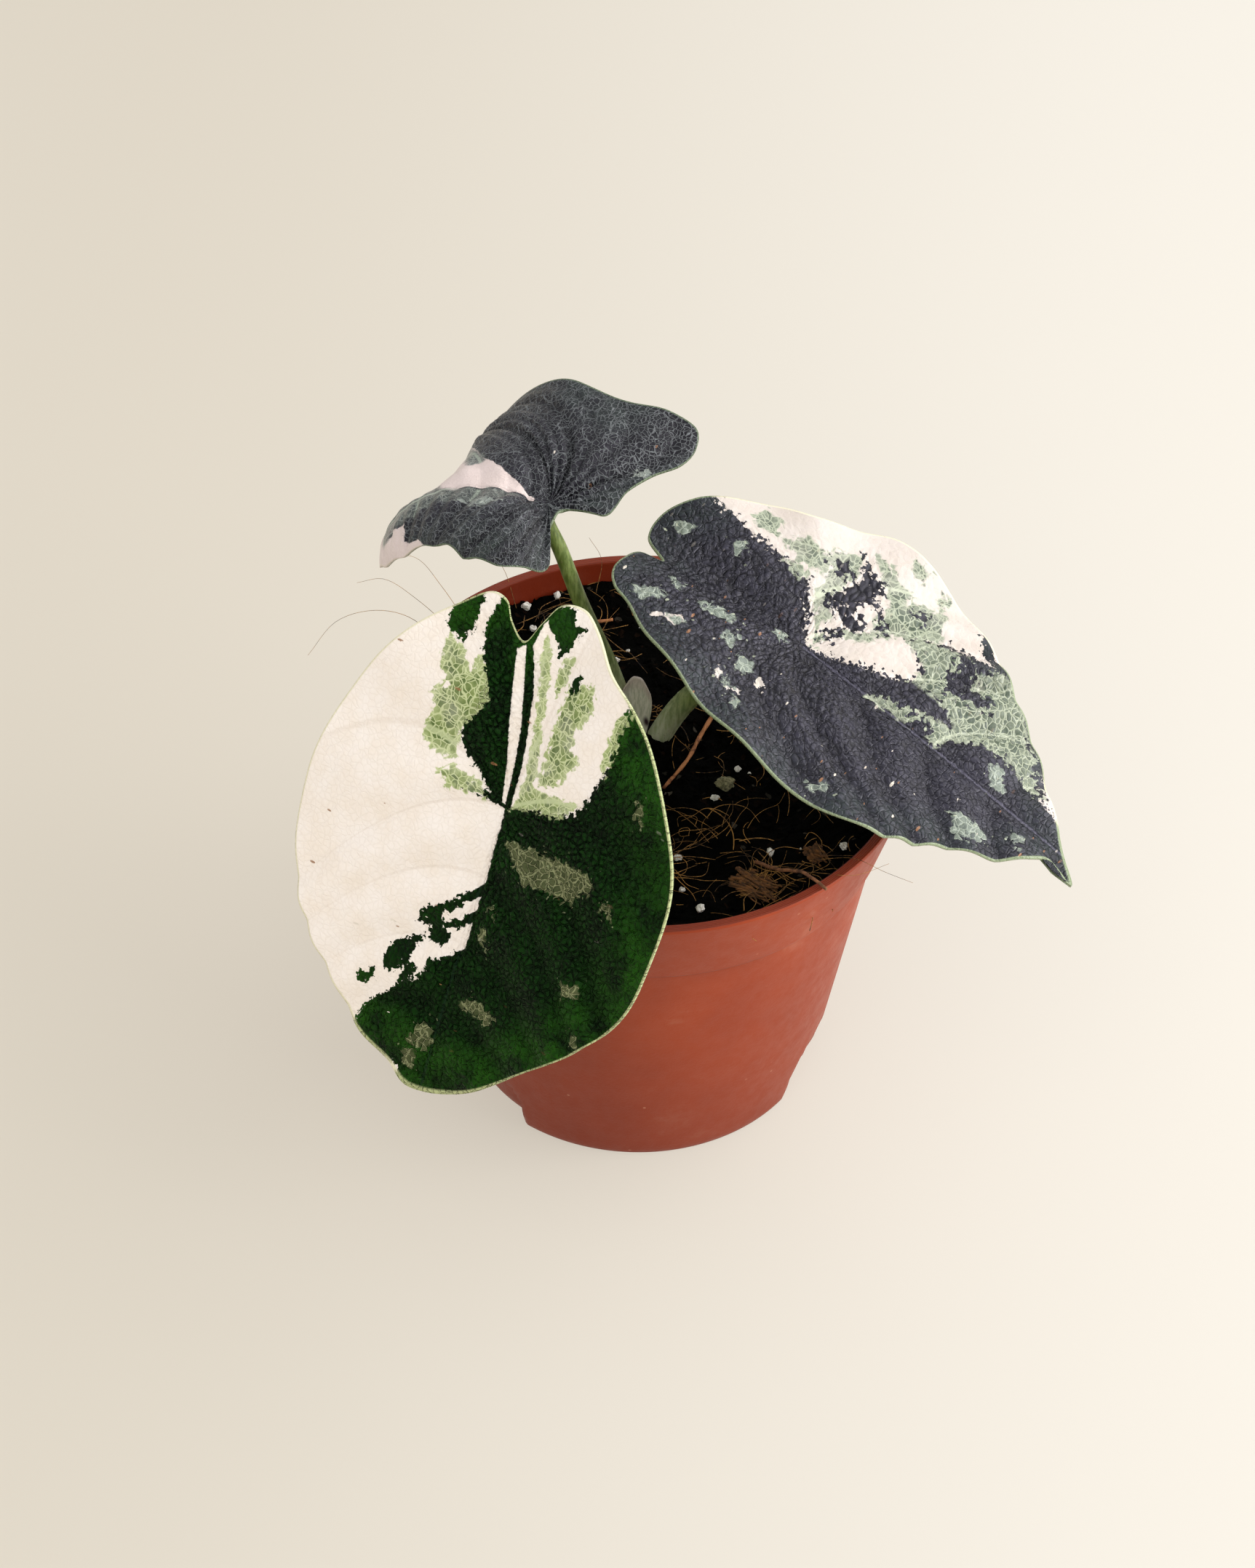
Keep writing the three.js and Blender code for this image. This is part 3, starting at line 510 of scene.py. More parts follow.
def blade_points(leaf, u, v, edge):
    """Where flat points of the blade's middle layer lie in space; edge is 1 on the margin."""
    apex, side, face = blade_axes(leaf)
    reach = np.hypot(u, v)
    angle = np.arctan2(v, u)
    rise = np.radians(read_around(leaf["rise"], angle))
    bend = np.radians(read_around(leaf["bend"], angle))
    bearing = angle + np.radians(read_around(leaf["turn"], angle))
    out = (np.sin(rise) - np.sin(rise - bend * reach)) / bend
    lift = (np.cos(rise - bend * reach) - np.cos(rise)) / bend
    free = 1 - np.exp(-((reach / PAD_RADIUS) ** 2))
    flat = reach + (out - reach) * free
    wave = leaf["wave"] * edge ** 3 * np.sin(9 * angle + 1)
    height = lift * free + quilting(leaf, u, v, reach) + wave - fold_drop(leaf, u, v)
    return (np.array(leaf["attachment"]) + np.outer(flat * np.cos(bearing), apex)
            + np.outer(flat * np.sin(bearing), side) + np.outer(height, face))


def blade_normals(leaf, u, v, edge):
    """Outward directions of the upper face; round the attachment it lies square to the stalk."""
    step = 0.5
    along = blade_points(leaf, u + step, v, edge) - blade_points(leaf, u - step, v, edge)
    across = blade_points(leaf, u, v + step, edge) - blade_points(leaf, u, v - step, edge)
    normals = np.cross(across, along)
    normals /= np.linalg.norm(normals, axis=1, keepdims=True)
    normals[np.hypot(u, v) < 1] = blade_axes(leaf)[2]
    return normals


def curve_point(p0, p1, p2, p3, part):
    """A point part of the way from p1 to p2 on a centripetal Catmull-Rom curve."""
    d0, d1, d2 = (np.maximum(np.sqrt(np.linalg.norm(b - a, axis=-1, keepdims=True)), 1e-6)
                  for a, b in ((p0, p1), (p1, p2), (p2, p3)))
    leave = ((p1 - p0) / d0 - (p2 - p0) / (d0 + d1) + (p2 - p1) / d1) * d1
    arrive = ((p2 - p1) / d1 - (p3 - p1) / (d1 + d2) + (p3 - p2) / d2) * d1
    return (p1 + leave * part + (3 * (p2 - p1) - 2 * leave - arrive) * part ** 2
            + (2 * (p1 - p2) + leave + arrive) * part ** 3)


def smooth_outline(outline, count):
    """A closed smooth curve through the outline's points."""
    points = np.array(outline, dtype=float)
    size = len(points)
    place = np.arange(count) / count * size
    index = np.floor(place).astype(int)
    part = (place - index)[:, None]
    return curve_point(*(points[(index + step) % size] for step in (-1, 0, 1, 2)), part)


PATCH_LAYERS = ("cream", "sage", "dark", "fleck", "steady")
SKIN_VALUES = ("inset", "under", "reach", "furrow", "rib_mm", "midrib_mm", "swell")
FAR_OUTSIDE = -40.0
NO_MIDRIB = 9.0


def patch_depth(patches, u, v):
    """How deep each point lies inside the nearest patch, in mm; negative outside."""
    depth = np.full(len(u), FAR_OUTSIDE)
    for patch in patches:
        corners = np.array(patch, dtype=float)
        away = np.full(len(u), np.inf)
        inside = np.zeros(len(u), dtype=bool)
        for (x0, y0), (x1, y1) in zip(corners, np.roll(corners, -1, axis=0)):
            dx, dy = x1 - x0, y1 - y0
            t = np.clip(((u - x0) * dx + (v - y0) * dy) / (dx * dx + dy * dy), 0, 1)
            away = np.minimum(away, np.hypot(u - x0 - t * dx, v - y0 - t * dy))
            crosses = (y0 > v) != (y1 > v)
            if dy:
                inside ^= crosses & (u < x0 + (v - y0) * dx / dy)
        depth = np.maximum(depth, np.where(inside, away, -away))
    return depth


def blade_grid(leaf, rings_count, per_point):
    """Flat coordinates of the blade's points, ring by ring from the attachment to the margin."""
    spokes = len(leaf["outline"]) * per_point
    rim = smooth_outline(leaf["outline"], spokes)
    rings = np.arange(1, rings_count + 1) / rings_count
    flat = (rings[:, None, None] * rim[None]).reshape(-1, 2)
    flat = np.vstack(([[0.0, 0.0]], flat))
    edge = np.concatenate(([0.0], np.repeat(rings, spokes)))
    inset = (1 - edge) * np.concatenate(([1.0], np.tile(np.linalg.norm(rim, axis=1), rings_count)))
    return flat[:, 0], flat[:, 1], edge, inset, spokes


def disc_faces(rings_count, spokes):
    """Faces of a grid of rings round one middle point."""
    spoke = np.arange(spokes)
    after = (spoke + 1) % spokes
    faces = [np.column_stack((np.zeros(spokes, int), 1 + spoke, 1 + after))]
    for ring in range(rings_count - 1):
        inner, outer = 1 + ring * spokes, 1 + (ring + 1) * spokes
        faces.append(np.column_stack((inner + spoke, outer + spoke, outer + after)))
        faces.append(np.column_stack((inner + spoke, outer + after, inner + after)))
    return np.vstack(faces)


def margin_faces(top_rim, under_rim, spokes):
    """Joins the fine rim of the upper side to the underside's, which has half as many points."""
    pair = np.arange(spokes // 2)
    first, middle, last = (top_rim + (2 * pair + step) % spokes for step in (0, 1, 2))
    low, low_after = under_rim + pair, under_rim + (pair + 1) % (spokes // 2)
    return np.vstack((np.column_stack((first, low, middle)),
                      np.column_stack((middle, low, low_after)),
                      np.column_stack((middle, low_after, last))))


# Puckers and pleats rise and sink about this part of their depth, so the blade stays in its place.
# Underneath, the midrib and the side ribs stand out, by heights and widths in mm.
MEAN_RELIEF = 0.6
MIDRIB_HEIGHT = 1.1
MIDRIB_WIDTH = 0.9
RIB_HEIGHT = 0.5
RIB_WIDTH = 0.7


def blade_side(leaf, rings_count, per_point, face):
    """Points and surface values of one side of a blade: face is 1 for the upper one, else -1."""
    u, v, edge, inset, spokes = blade_grid(leaf, rings_count, per_point)
    reach = np.hypot(u, v)
    length, width, depth = leaf["pucker"]
    furrow = puckers(u, v, length, width, 11)
    rib = rib_distance(leaf, u, v, reach)
    half = (BLADE_THICKNESS + (MARGIN_THICKNESS - BLADE_THICKNESS) * edge) / 2
    phase = rib_phase(leaf, u, v)[0]
    swell = rib_swell(phase)
    pleat = np.abs(np.sin(3 * math.pi * phase + 0.6 * np.sin(reach / 5)))
    values = {layer: patch_depth(leaf[layer], u, v) for layer in PATCH_LAYERS}
    if face > 0:
        waxy = np.clip(values["cream"] / 2, 0, 1) * np.clip(-values["dark"] / 2, 0, 1)
        calm = np.clip(inset / 4, 0, 1) * np.clip(reach / 5, 0, 1) * (1 - 0.75 * waxy)
        relief = calm * (depth * (furrow - MEAN_RELIEF) + leaf["pleat"] * (pleat - MEAN_RELIEF))
    else:
        slim = 1 - 0.75 * edge
        midrib = MIDRIB_HEIGHT * np.exp(-((v / MIDRIB_WIDTH) ** 2)) * (u > -2)
        side_ribs = RIB_HEIGHT * np.exp(-((rib / RIB_WIDTH) ** 2)) * np.clip(reach / 3, 0, 1)
        relief = slim * (midrib + side_ribs)
    offset = face * (half + relief * np.clip(inset / 2, 0, 1))
    points = blade_points(leaf, u, v, edge) + blade_normals(leaf, u, v, edge) * offset[:, None]
    near_apex = np.clip((u / max(point[0] for point in leaf["outline"]) - 0.75) / 0.25, 0, 1)
    values.update(inset=inset / (1 + 2.2 * near_apex), under=np.full(len(u), float(face < 0)),
                  reach=reach, furrow=furrow, rib_mm=rib,
                  swell=swell * (0.4 + 0.6 * pleat if leaf["pleat"] else 1),
                  midrib_mm=np.where(u > 0, np.abs(v), NO_MIDRIB))
    return points, values, np.column_stack((u, v, np.zeros(len(u)))), spokes


def make_blade(name, leaf, material, slot, node):
    """One leaf blade, of its CAD solid's form but finer, and coarser underneath than above."""
    upper, upper_values, upper_flat, spokes = blade_side(leaf, BLADE_RINGS, SPOKES_PER_POINT, 1)
    under, under_values, under_flat, _ = blade_side(
        leaf, BLADE_RINGS // 2, SPOKES_PER_POINT // 2, -1)
    count = len(upper)
    top_rim = 1 + (BLADE_RINGS - 1) * spokes
    under_rim = count + 1 + (BLADE_RINGS // 2 - 1) * (spokes // 2)
    faces = np.vstack((disc_faces(BLADE_RINGS, spokes),
                       disc_faces(BLADE_RINGS // 2, spokes // 2)[:, ::-1] + count,
                       margin_faces(top_rim, under_rim, spokes)))
    piece = make_piece(name, np.vstack((upper, under)), faces, material)
    for key in upper_values:
        store(piece, key, np.concatenate((upper_values[key], under_values[key])))
    store_vector(piece, "flat_mm", np.vstack((upper_flat, under_flat)))
    settle(piece, slot, node)
    return piece


# Each blade's finish. A leathery blade has no gloss coat of its own: broad soft highlights break
# up on its fine net. A pair of colours changes in soft clouds. A cell is the width of one mesh of
# the net in mm; bump and fine_bump are its relief in mm, and a negative one raises the veins. The
# edges of patches are ragged by noise with so many blots in a mm. Veil is how softly the sage ends,
# in mm to each side, and wash is its colour there. Dust is the share of spots with litter on them.
# Furrowed, valley, net_over_dark and bits say how strongly each of those shows.
# The crest colour is a painted sheen on the dark parts' small swellings; the furrow colour and the
# valley darkening are painted shade in the creases. The cream's rib colour is partly the veins' own
# and partly painted shade.
LOOKS = {
    "a": {
        "dark": ("#020B02", "#082403"), "crest_sheen": "#133C0B", "furrow": "#010401",
        "net_dark": "#23461E", "rim_tint": "#27560F", "cream": ("#FEF5ED", "#F9EDE0"),
        "sage": ("#5A6D3C", "#8F9E62"), "net_pale": "#D2DAA6", "wash": "#B4C088",
        "fleck": ("#41482C", "#565C3C"), "fleck_net": "#94976F",
        "rib_cream": "#E2D3C4", "rib_dark": "#14281A", "rib_sage": "#C3CD9C",
        "margin": "#ECE6C6", "margin_dark": "#C2C892", "underside": "#A9B58C", "tint": "#C4E2BC",
        "rough": 0.26, "gloss": 0.13, "bump": 0.34, "fine_bump": 0.05, "cell": 1.4,
        "ragged": 0.8, "blot": 0.8, "veil": 0.25, "furrowed": 0.7, "valley_shade": 0.3,
        "net_over_dark": 0.16, "bits": 0.3, "dust": 0.05,
    },
    "b": {
        "dark": ("#16161C", "#282731"), "crest_sheen": "#3A3945", "furrow": "#040406",
        "net_dark": "#0A0A0E", "rim_tint": "#26322C", "cream": ("#D3CAC4", "#CCC1B8"),
        "sage": ("#4B5746", "#7A8370"), "net_pale": "#B1B8A0", "wash": "#9CA38F",
        "fleck": ("#57605A", "#7C867A"), "fleck_net": "#A3AC9E",
        "rib_cream": "#E2DCC8", "rib_dark": "#5E5C6C", "rib_sage": "#C6CDB5",
        "margin": "#EFE8CB", "margin_dark": "#93A17E", "underside": "#A4B08C", "tint": "#E2E0F2",
        "rough": 0.3, "gloss": 0.55, "bump": 0.1, "fine_bump": 0.015, "cell": 1.4,
        "ragged": 1.8, "blot": 0.7, "veil": 0.45, "furrowed": 1.0, "valley_shade": 0.35,
        "net_over_dark": 0.4, "bits": 0.85, "dust": 0.24,
    },
    "c": {
        "dark": ("#131217", "#26252C"), "crest_sheen": "#2B2A30", "furrow": "#08080B",
        "net_dark": "#6E7274", "rim_tint": "#2B3A30", "cream": ("#E3D3CF", "#D6C6C1"),
        "sage": ("#3F4543", "#585E5A"), "net_pale": "#8B918A", "wash": "#5E6460",
        "fleck": ("#6C7470", "#8B928C"), "fleck_net": "#A9B0A7",
        "rib_cream": "#D2C2BE", "rib_dark": "#3C3C42", "rib_sage": "#A4AEA0",
        "margin": "#D9CCBE", "margin_dark": "#6C7A60", "underside": "#8E9A7C", "tint": "#E2E0F0",
        "rough": 0.34, "gloss": 0.55, "bump": -0.2, "fine_bump": 0.03, "cell": 1.0,
        "ragged": 0.8, "blot": 0.42, "veil": 0.7, "furrowed": 0.3, "valley_shade": 1.0,
        "net_over_dark": 0.95, "bits": 0.2, "dust": 0.02,
    },
}
DRY_LITTER = "#9A6E4C"
PALE_LITTER = "#E8DED0"


def vein_patterns(s, look):
    """What a blade's skin is drawn with: the mesh's own values, the net of veins in them, the
    ribs, and two kinds of unevenness for the edges of the patches."""
    p = {name: s.add("attribute", attribute_name=name) for name in PATCH_LAYERS + SKIN_VALUES}
    flat = s.add("attribute", attribute_name="flat_mm").node.outputs["Vector"]
    sway = s.add("noise", flat, 0.4, 1.0, noise_dimensions="2D").node.outputs["Color"]
    bent = s.add("shift", flat, s.add("scale", sway, 1.5))
    meshes = 1 / look["cell"]
    net, broad, fine = (s.add("net", bent, meshes * times) for times in (1, 0.35, 2))
    chance = s.add("chance", s.add("flat cells", bent, meshes).node.outputs["Color"])
    unsteady = s.add("ramp", p["steady"], -1.0, 1.5, 1.0, 0.2)
    blots = s.add("SUBTRACT", s.add("noise", flat, look["blot"], 3, 0.55), 0.5)
    jumps = s.add("MULTIPLY", s.add("SUBTRACT", chance, 0.5), unsteady)
    p.update(
        flat=flat, net=net, fine=fine, chance=chance,
        drift=s.add("noise", flat, 0.12, 4, 0.6),
        blotted=s.add("MULTIPLY", s.add("MULTIPLY", blots, unsteady), look["ragged"] * 6),
        angular=s.add("ADD", s.add("MULTIPLY", jumps, 1.5), s.add("MULTIPLY", blots, 3.0)),
        line=s.add("MAXIMUM", s.add("ramp", net, 0.04, 0.12, 1.0, 0.0),
                   s.add("ramp", broad, 0.02, 0.055, 1.0, 0.0)),
        rib=s.add("MULTIPLY", s.add("ramp", p["rib_mm"], 0.25, 0.6, 1.0, 0.0),
                  s.add("ramp", p["reach"], 1.0, 50.0, 1.0, 0.6)),
        midrib=s.add("ramp", p["midrib_mm"], 0.15, 0.5, 1.0, 0.0),
        pucker_line=s.add("MULTIPLY", s.add("ramp", p["furrow"], 0.1, 0.6, 1.0, 0.0),
                          s.add("ramp", p["reach"], 18.0, 50.0, 1.0, 0.5)))
    return p


def dark_skin(s, p, look):
    """The green-black parts: a painted sheen lightens each small swelling, and painted shade
    darkens the furrows round it and the valleys between the ribs.
    """
    colour = s.add("mix", s.add("ramp", p["drift"], 0.35, 0.65), *look["dark"])
    near_margin = s.add("MULTIPLY", s.add("ramp", p["inset"], 2.0, 15.0, 1.0, 0.0),
                        s.add("ramp", p["drift"], 0.3, 0.6))
    colour = s.add("mix", s.add("MULTIPLY", near_margin, 0.8), colour, look["rim_tint"])
    # Painted highlight: the small swellings are lighter, as if they caught a sheen
    swelling = s.add("MULTIPLY", s.add("ramp", p["net"], 0.05, 0.4),
                     s.add("ramp", p["chance"], 0.0, 1.0, 0.38, 0.52))
    colour = s.add("mix", swelling, colour, look["crest_sheen"])
    # Painted shade: darker in the valleys between the side ribs
    valley_shade = s.add("ramp", p["swell"], 0.0, 0.7, look["valley_shade"], 0.0)
    colour = s.add("mix", valley_shade, colour, look["furrow"])
    # Over the dark, the net's lines are near black on the second blade, painted shade in its fine
    # grooves
    patchy = s.add("ramp", s.add("noise", p["flat"], 0.15, 3, 0.6), 0.32, 0.65, 0.45, 1.0)
    net = s.add("MULTIPLY", s.add("MULTIPLY", p["line"], patchy), look["net_over_dark"])
    colour = s.add("mix", net, colour, look["net_dark"])
    # Painted shade: darker in the furrows round the puckers
    furrows = s.add("MULTIPLY", p["pucker_line"], look["furrowed"])
    colour = s.add("mix", furrows, colour, look["furrow"])
    return s.add("mix", s.add("MULTIPLY", p["midrib"], 0.6), colour, look["rib_dark"])


def cream_skin(s, p, look):
    """The parts without green: smooth and waxy, with barely visible veins, whose pinkish-grey lines
    are partly their own colour and partly painted shade along the ribs.
    """
    colour = s.add("mix", s.add("ramp", p["drift"], 0.3, 0.7), *look["cream"])
    colour = s.add("mix", s.add("MULTIPLY", p["line"], 0.1), colour, look["rib_cream"])
    # Partly painted shade: the side ribs are drawn darker, as the creases along them
    return s.add("mix", s.add("MULTIPLY", p["rib"], 0.35), colour, look["rib_cream"])


def greyish_green(s, p, colours):
    """The half-green parts under their veins, uneven from one mesh of the net to the next."""
    tone = s.add("ADD", s.add("MULTIPLY", s.add("noise", p["flat"], 0.45, 4, 0.6), 0.7),
                 s.add("MULTIPLY", p["chance"], 0.3))
    return s.add("mix", s.add("ramp", tone, 0.32, 0.68), *colours)


def veined(s, p, colour, net_colour, rib_colour):
    """The half-green parts' pale net of veins and paler ribs, over their colour."""
    colour = s.add("mix", s.add("MULTIPLY", p["line"], 0.85), colour, net_colour)
    ribs = s.add("MAXIMUM", p["rib"], p["midrib"])
    return s.add("mix", s.add("MULTIPLY", ribs, 0.9), colour, rib_colour)


def dusted(s, p, colour, share):
    """Dry litter and grit that fell on the blade, mostly on its lower half."""
    slant = s.add("stretch", p["flat"], (1.0, 0.4, 1.0), (0, 0, 0.6))
    grit = s.add("flat cells", slant, 0.4)
    chances = s.add("chance", grit.node.outputs["Color"]).node.outputs
    size = s.add("ramp", chances[0], 0.0, 1.0, 0.05, 0.14)
    spot = s.add("ramp", s.add("DIVIDE", grit, size), 0.75, 1.1, 0.85, 0.0)
    gathered = s.add("MULTIPLY", s.add("SUBTRACT", p["drift"], 0.5), 1.2)
    chosen = s.add("ramp", s.add("ADD", chances[1], gathered), 1 - share, 1.03 - share)
    litter = s.add("mix", s.add("ramp", chances[2], 0.6, 0.65), DRY_LITTER, PALE_LITTER)
    lower_half = s.add("ramp", s.add("x", p["flat"]).node.outputs[1], -3.0, 4.0, 0.15, 1.0)
    there = s.add("MULTIPLY", s.add("MULTIPLY", spot, chosen), lower_half)
    return s.add("mix", there, colour, litter)


def blade_colour(s, p, look):
    """Cream over the green, sage over both, dark islands over those, then flecks and litter."""
    def mask(layer, edge, soft=0.12):
        return s.add("ramp", s.add("ADD", p[layer], p[edge]), -soft, soft)

    dark = dark_skin(s, p, look)
    colour = s.add("mix", mask("cream", "blotted"), dark, cream_skin(s, p, look))
    sage_depth = s.add("ADD", p["sage"], s.add("MULTIPLY", p["blotted"], 1.2))
    washed = s.add("mix", s.add("ramp", sage_depth, 0.2, 1.7, 0.75, 0.0),
                   greyish_green(s, p, look["sage"]), look["wash"])
    sage = veined(s, p, washed, look["net_pale"], look["rib_sage"])
    veil = s.add("MULTIPLY", mask("sage", "angular", look["veil"]),
                 s.add("ramp", p["drift"], 0.3, 0.6, 0.8, 1.0))
    colour = s.add("mix", veil, colour, sage)
    colour = s.add("mix", mask("dark", "blotted"), colour, dark)
    fleck = veined(s, p, greyish_green(s, p, look["fleck"]), look["fleck_net"], look["fleck_net"])
    colour = s.add("mix", mask("fleck", "angular", 0.3), colour, fleck)
    bits = s.add("MULTIPLY", s.add("ramp", s.add("noise", p["flat"], 0.7, 1, 0.6), 0.7, 0.72),
                 s.add("ramp", p["fleck"], -3.5, -1.0))
    colour = s.add("mix", s.add("MULTIPLY", bits, look["bits"]), colour, look["net_pale"])
    return dusted(s, p, colour, look["dust"])


def blade_relief(s, p, look, calm):
    """Wrinkles along the net, a finer net between them, and a groove along the midrib."""
    wrinkles = s.add("MULTIPLY", s.add("ramp", p["net"], 0.0, 0.2), calm)
    wrinkled = s.add("bump", wrinkles, look["bump"] * MM)
    pebbles = s.add("MULTIPLY", s.add("ramp", p["fine"], 0.0, 0.4), calm)
    pebbled = s.add("bump", pebbles, look["fine_bump"] * MM, wrinkled)
    return s.add("bump", s.add("ramp", p["midrib_mm"], 0.0, 0.9), 0.3 * MM, pebbled)


def blade_material(name, look):
    """Leaf cuticle: waxy and leathery, with markings that follow the net of fine veins, a thin
    pale line along the margin, and calm where the blade is cream."""
    s = Surface(name)
    p = vein_patterns(s, look)
    pale_here = s.add("ramp", p["cream"], -1.0, 1.0)
    margin = s.add("mix", pale_here, look["margin_dark"], look["margin"])
    margin_line = s.add("ramp", p["inset"], 0.2, 0.48, 0.9, 0.0)
    colour = s.add("mix", margin_line, blade_colour(s, p, look), margin)
    colour = s.add("mix", s.add("MULTIPLY", p["under"], 0.75), colour, look["underside"])
    calm = s.add("ramp", pale_here, 0.0, 1.0, 1.0, 0.15)
    roughness = s.add("ramp", s.add("noise", p["flat"], 0.8, 4, 0.6), 0.3, 0.7,
                      look["rough"] - 0.06, look["rough"] + 0.1)
    return s.finish(colour, roughness, blade_relief(s, p, look, calm), IOR=1.45,
                    Specular_IOR_Level=look["gloss"], Specular_Tint=look["tint"])


def build_blades():
    for letter, leaf, slot in (("a", LEAF_A, "blade_cream"), ("b", LEAF_B, "blade_dark"),
                               ("c", LEAF_C, "blade_dark")):
        material = blade_material(f"leaf_cuticle_{letter}", LOOKS[letter])
        make_blade(f"leaf_blade_{letter}", leaf, material, slot, f"blade_{letter}")


# Pot

def pot_wall(radius_up, z, bearings):
    """Points of the outer wall at one height, pressed in where a foot recess is."""
    radii = np.full(len(bearings), radius_up, dtype=float)
    for bearing in ARCH_BEARINGS:
        off = (np.degrees(bearings) - bearing + 180) % 360 - 180
        across = np.abs(np.radians(off)) * BASE_RADIUS / (ARCH_WIDTH / 2)
        side = np.clip((1 - across) / 0.12, 0, 1)
        top = ARCH_HEIGHT * np.clip(1 - np.clip(across, 0, 1) ** 3, 0, 1) ** 0.5
        up = np.clip((top - z) / 1.2, 0, 1)
        radii -= ARCH_DEPTH * side ** 2 * (3 - 2 * side) * up ** 2 * (3 - 2 * up)
    return radii


def pot_profile():
    """The wall's section, up its outside and down its inside: radius, height, and whether the foot
    recesses press it in there. Its corners are rounded by a few points."""
    shoulder = POT_HEIGHT - COLLAR_HEIGHT
    lip = 0.6
    slope = SHOULDER_RADIUS - BASE_RADIUS
    wall_steps = np.linspace(0, 1, 40)[1:-1]
    foot = [(BASE_RADIUS - 1.2, 0, True), (BASE_RADIUS - 0.5, 0.1, True),
            (BASE_RADIUS - 0.1, 0.5, True)]
    wall = [(BASE_RADIUS + slope * t, shoulder * t, True) for t in wall_steps]
    under_collar = [
        (SHOULDER_RADIUS, shoulder - 0.4, True), (SHOULDER_RADIUS + 0.05, shoulder - 0.1, False),
        (SHOULDER_RADIUS + 0.25, shoulder, False), (COLLAR_FOOT_RADIUS - 0.3, shoulder, False),
        (COLLAR_FOOT_RADIUS - 0.1, shoulder + 0.05, False),
        (COLLAR_FOOT_RADIUS, shoulder + 0.25, False),
        (COLLAR_FOOT_RADIUS + 0.08, shoulder + 0.55, False),
    ]
    rim = [
        (RIM_RADIUS - 1.0, POT_HEIGHT - 4, False),
        (RIM_RADIUS - 0.25, POT_HEIGHT - lip - 0.25, False),
        (RIM_RADIUS - 0.2, POT_HEIGHT - lip, False), (RIM_RADIUS - 0.35, POT_HEIGHT - 0.2, False),
        (RIM_RADIUS - lip, POT_HEIGHT, False), (RIM_RADIUS - lip - 0.15, POT_HEIGHT, False),
    ]
    inner_radius = RIM_RADIUS - RIM_WIDTH
    inside_rim = [
        (inner_radius + 0.45, POT_HEIGHT, False), (inner_radius + 0.3, POT_HEIGHT, False),
        (inner_radius, POT_HEIGHT - 0.3, False), (inner_radius - 0.05, POT_HEIGHT - 0.55, False),
        (inner_radius - 0.5, POT_HEIGHT - 4, False),
        (COLLAR_FOOT_RADIUS - WALL, shoulder + WALL, False),
        (SHOULDER_RADIUS - WALL, shoulder, False),
    ]
    inside = [(BASE_RADIUS - WALL + slope * t, POT_FLOOR + (shoulder - POT_FLOOR) * t, True)
              for t in wall_steps[::-1]]
    floor = [(BASE_RADIUS - WALL, POT_FLOOR, True), (FLOOR_OPENING, POT_FLOOR, False),
             (FLOOR_OPENING, 0, False)]
    return foot + wall + under_collar + rim + inside_rim + inside + floor


def build_pot(material):
    """The pot's wall and floor ring, with the inside marked from the top of the rim down for its
    painted shade.
    """
    segments = 288
    bearings = np.arange(segments) / segments * 2 * math.pi
    profile = pot_profile()
    rings = []
    for radius, z, pressed in profile:
        radii = pot_wall(radius, z, bearings) if pressed else np.full(segments, radius, dtype=float)
        rings.append(np.column_stack((radii * np.cos(bearings), radii * np.sin(bearings),
                                      np.full(segments, z, dtype=float))))
    count = len(profile)
    inner_radius = RIM_RADIUS - RIM_WIDTH
    first_inner = next(ring for ring, place in enumerate(profile) if place[0] == inner_radius)
    faces = []
    for ring in range(count):
        after = (ring + 1) % count
        for spoke in range(segments):
            beside = (spoke + 1) % segments
            faces.append((ring * segments + spoke, ring * segments + beside,
                          after * segments + beside, after * segments + spoke))
    piece = make_piece("nursery_pot", np.vstack(rings), faces, material)
    store(piece, "inner", np.repeat(np.arange(count) >= first_inner, segments))
    settle(piece, "pot_plastic", "pot")


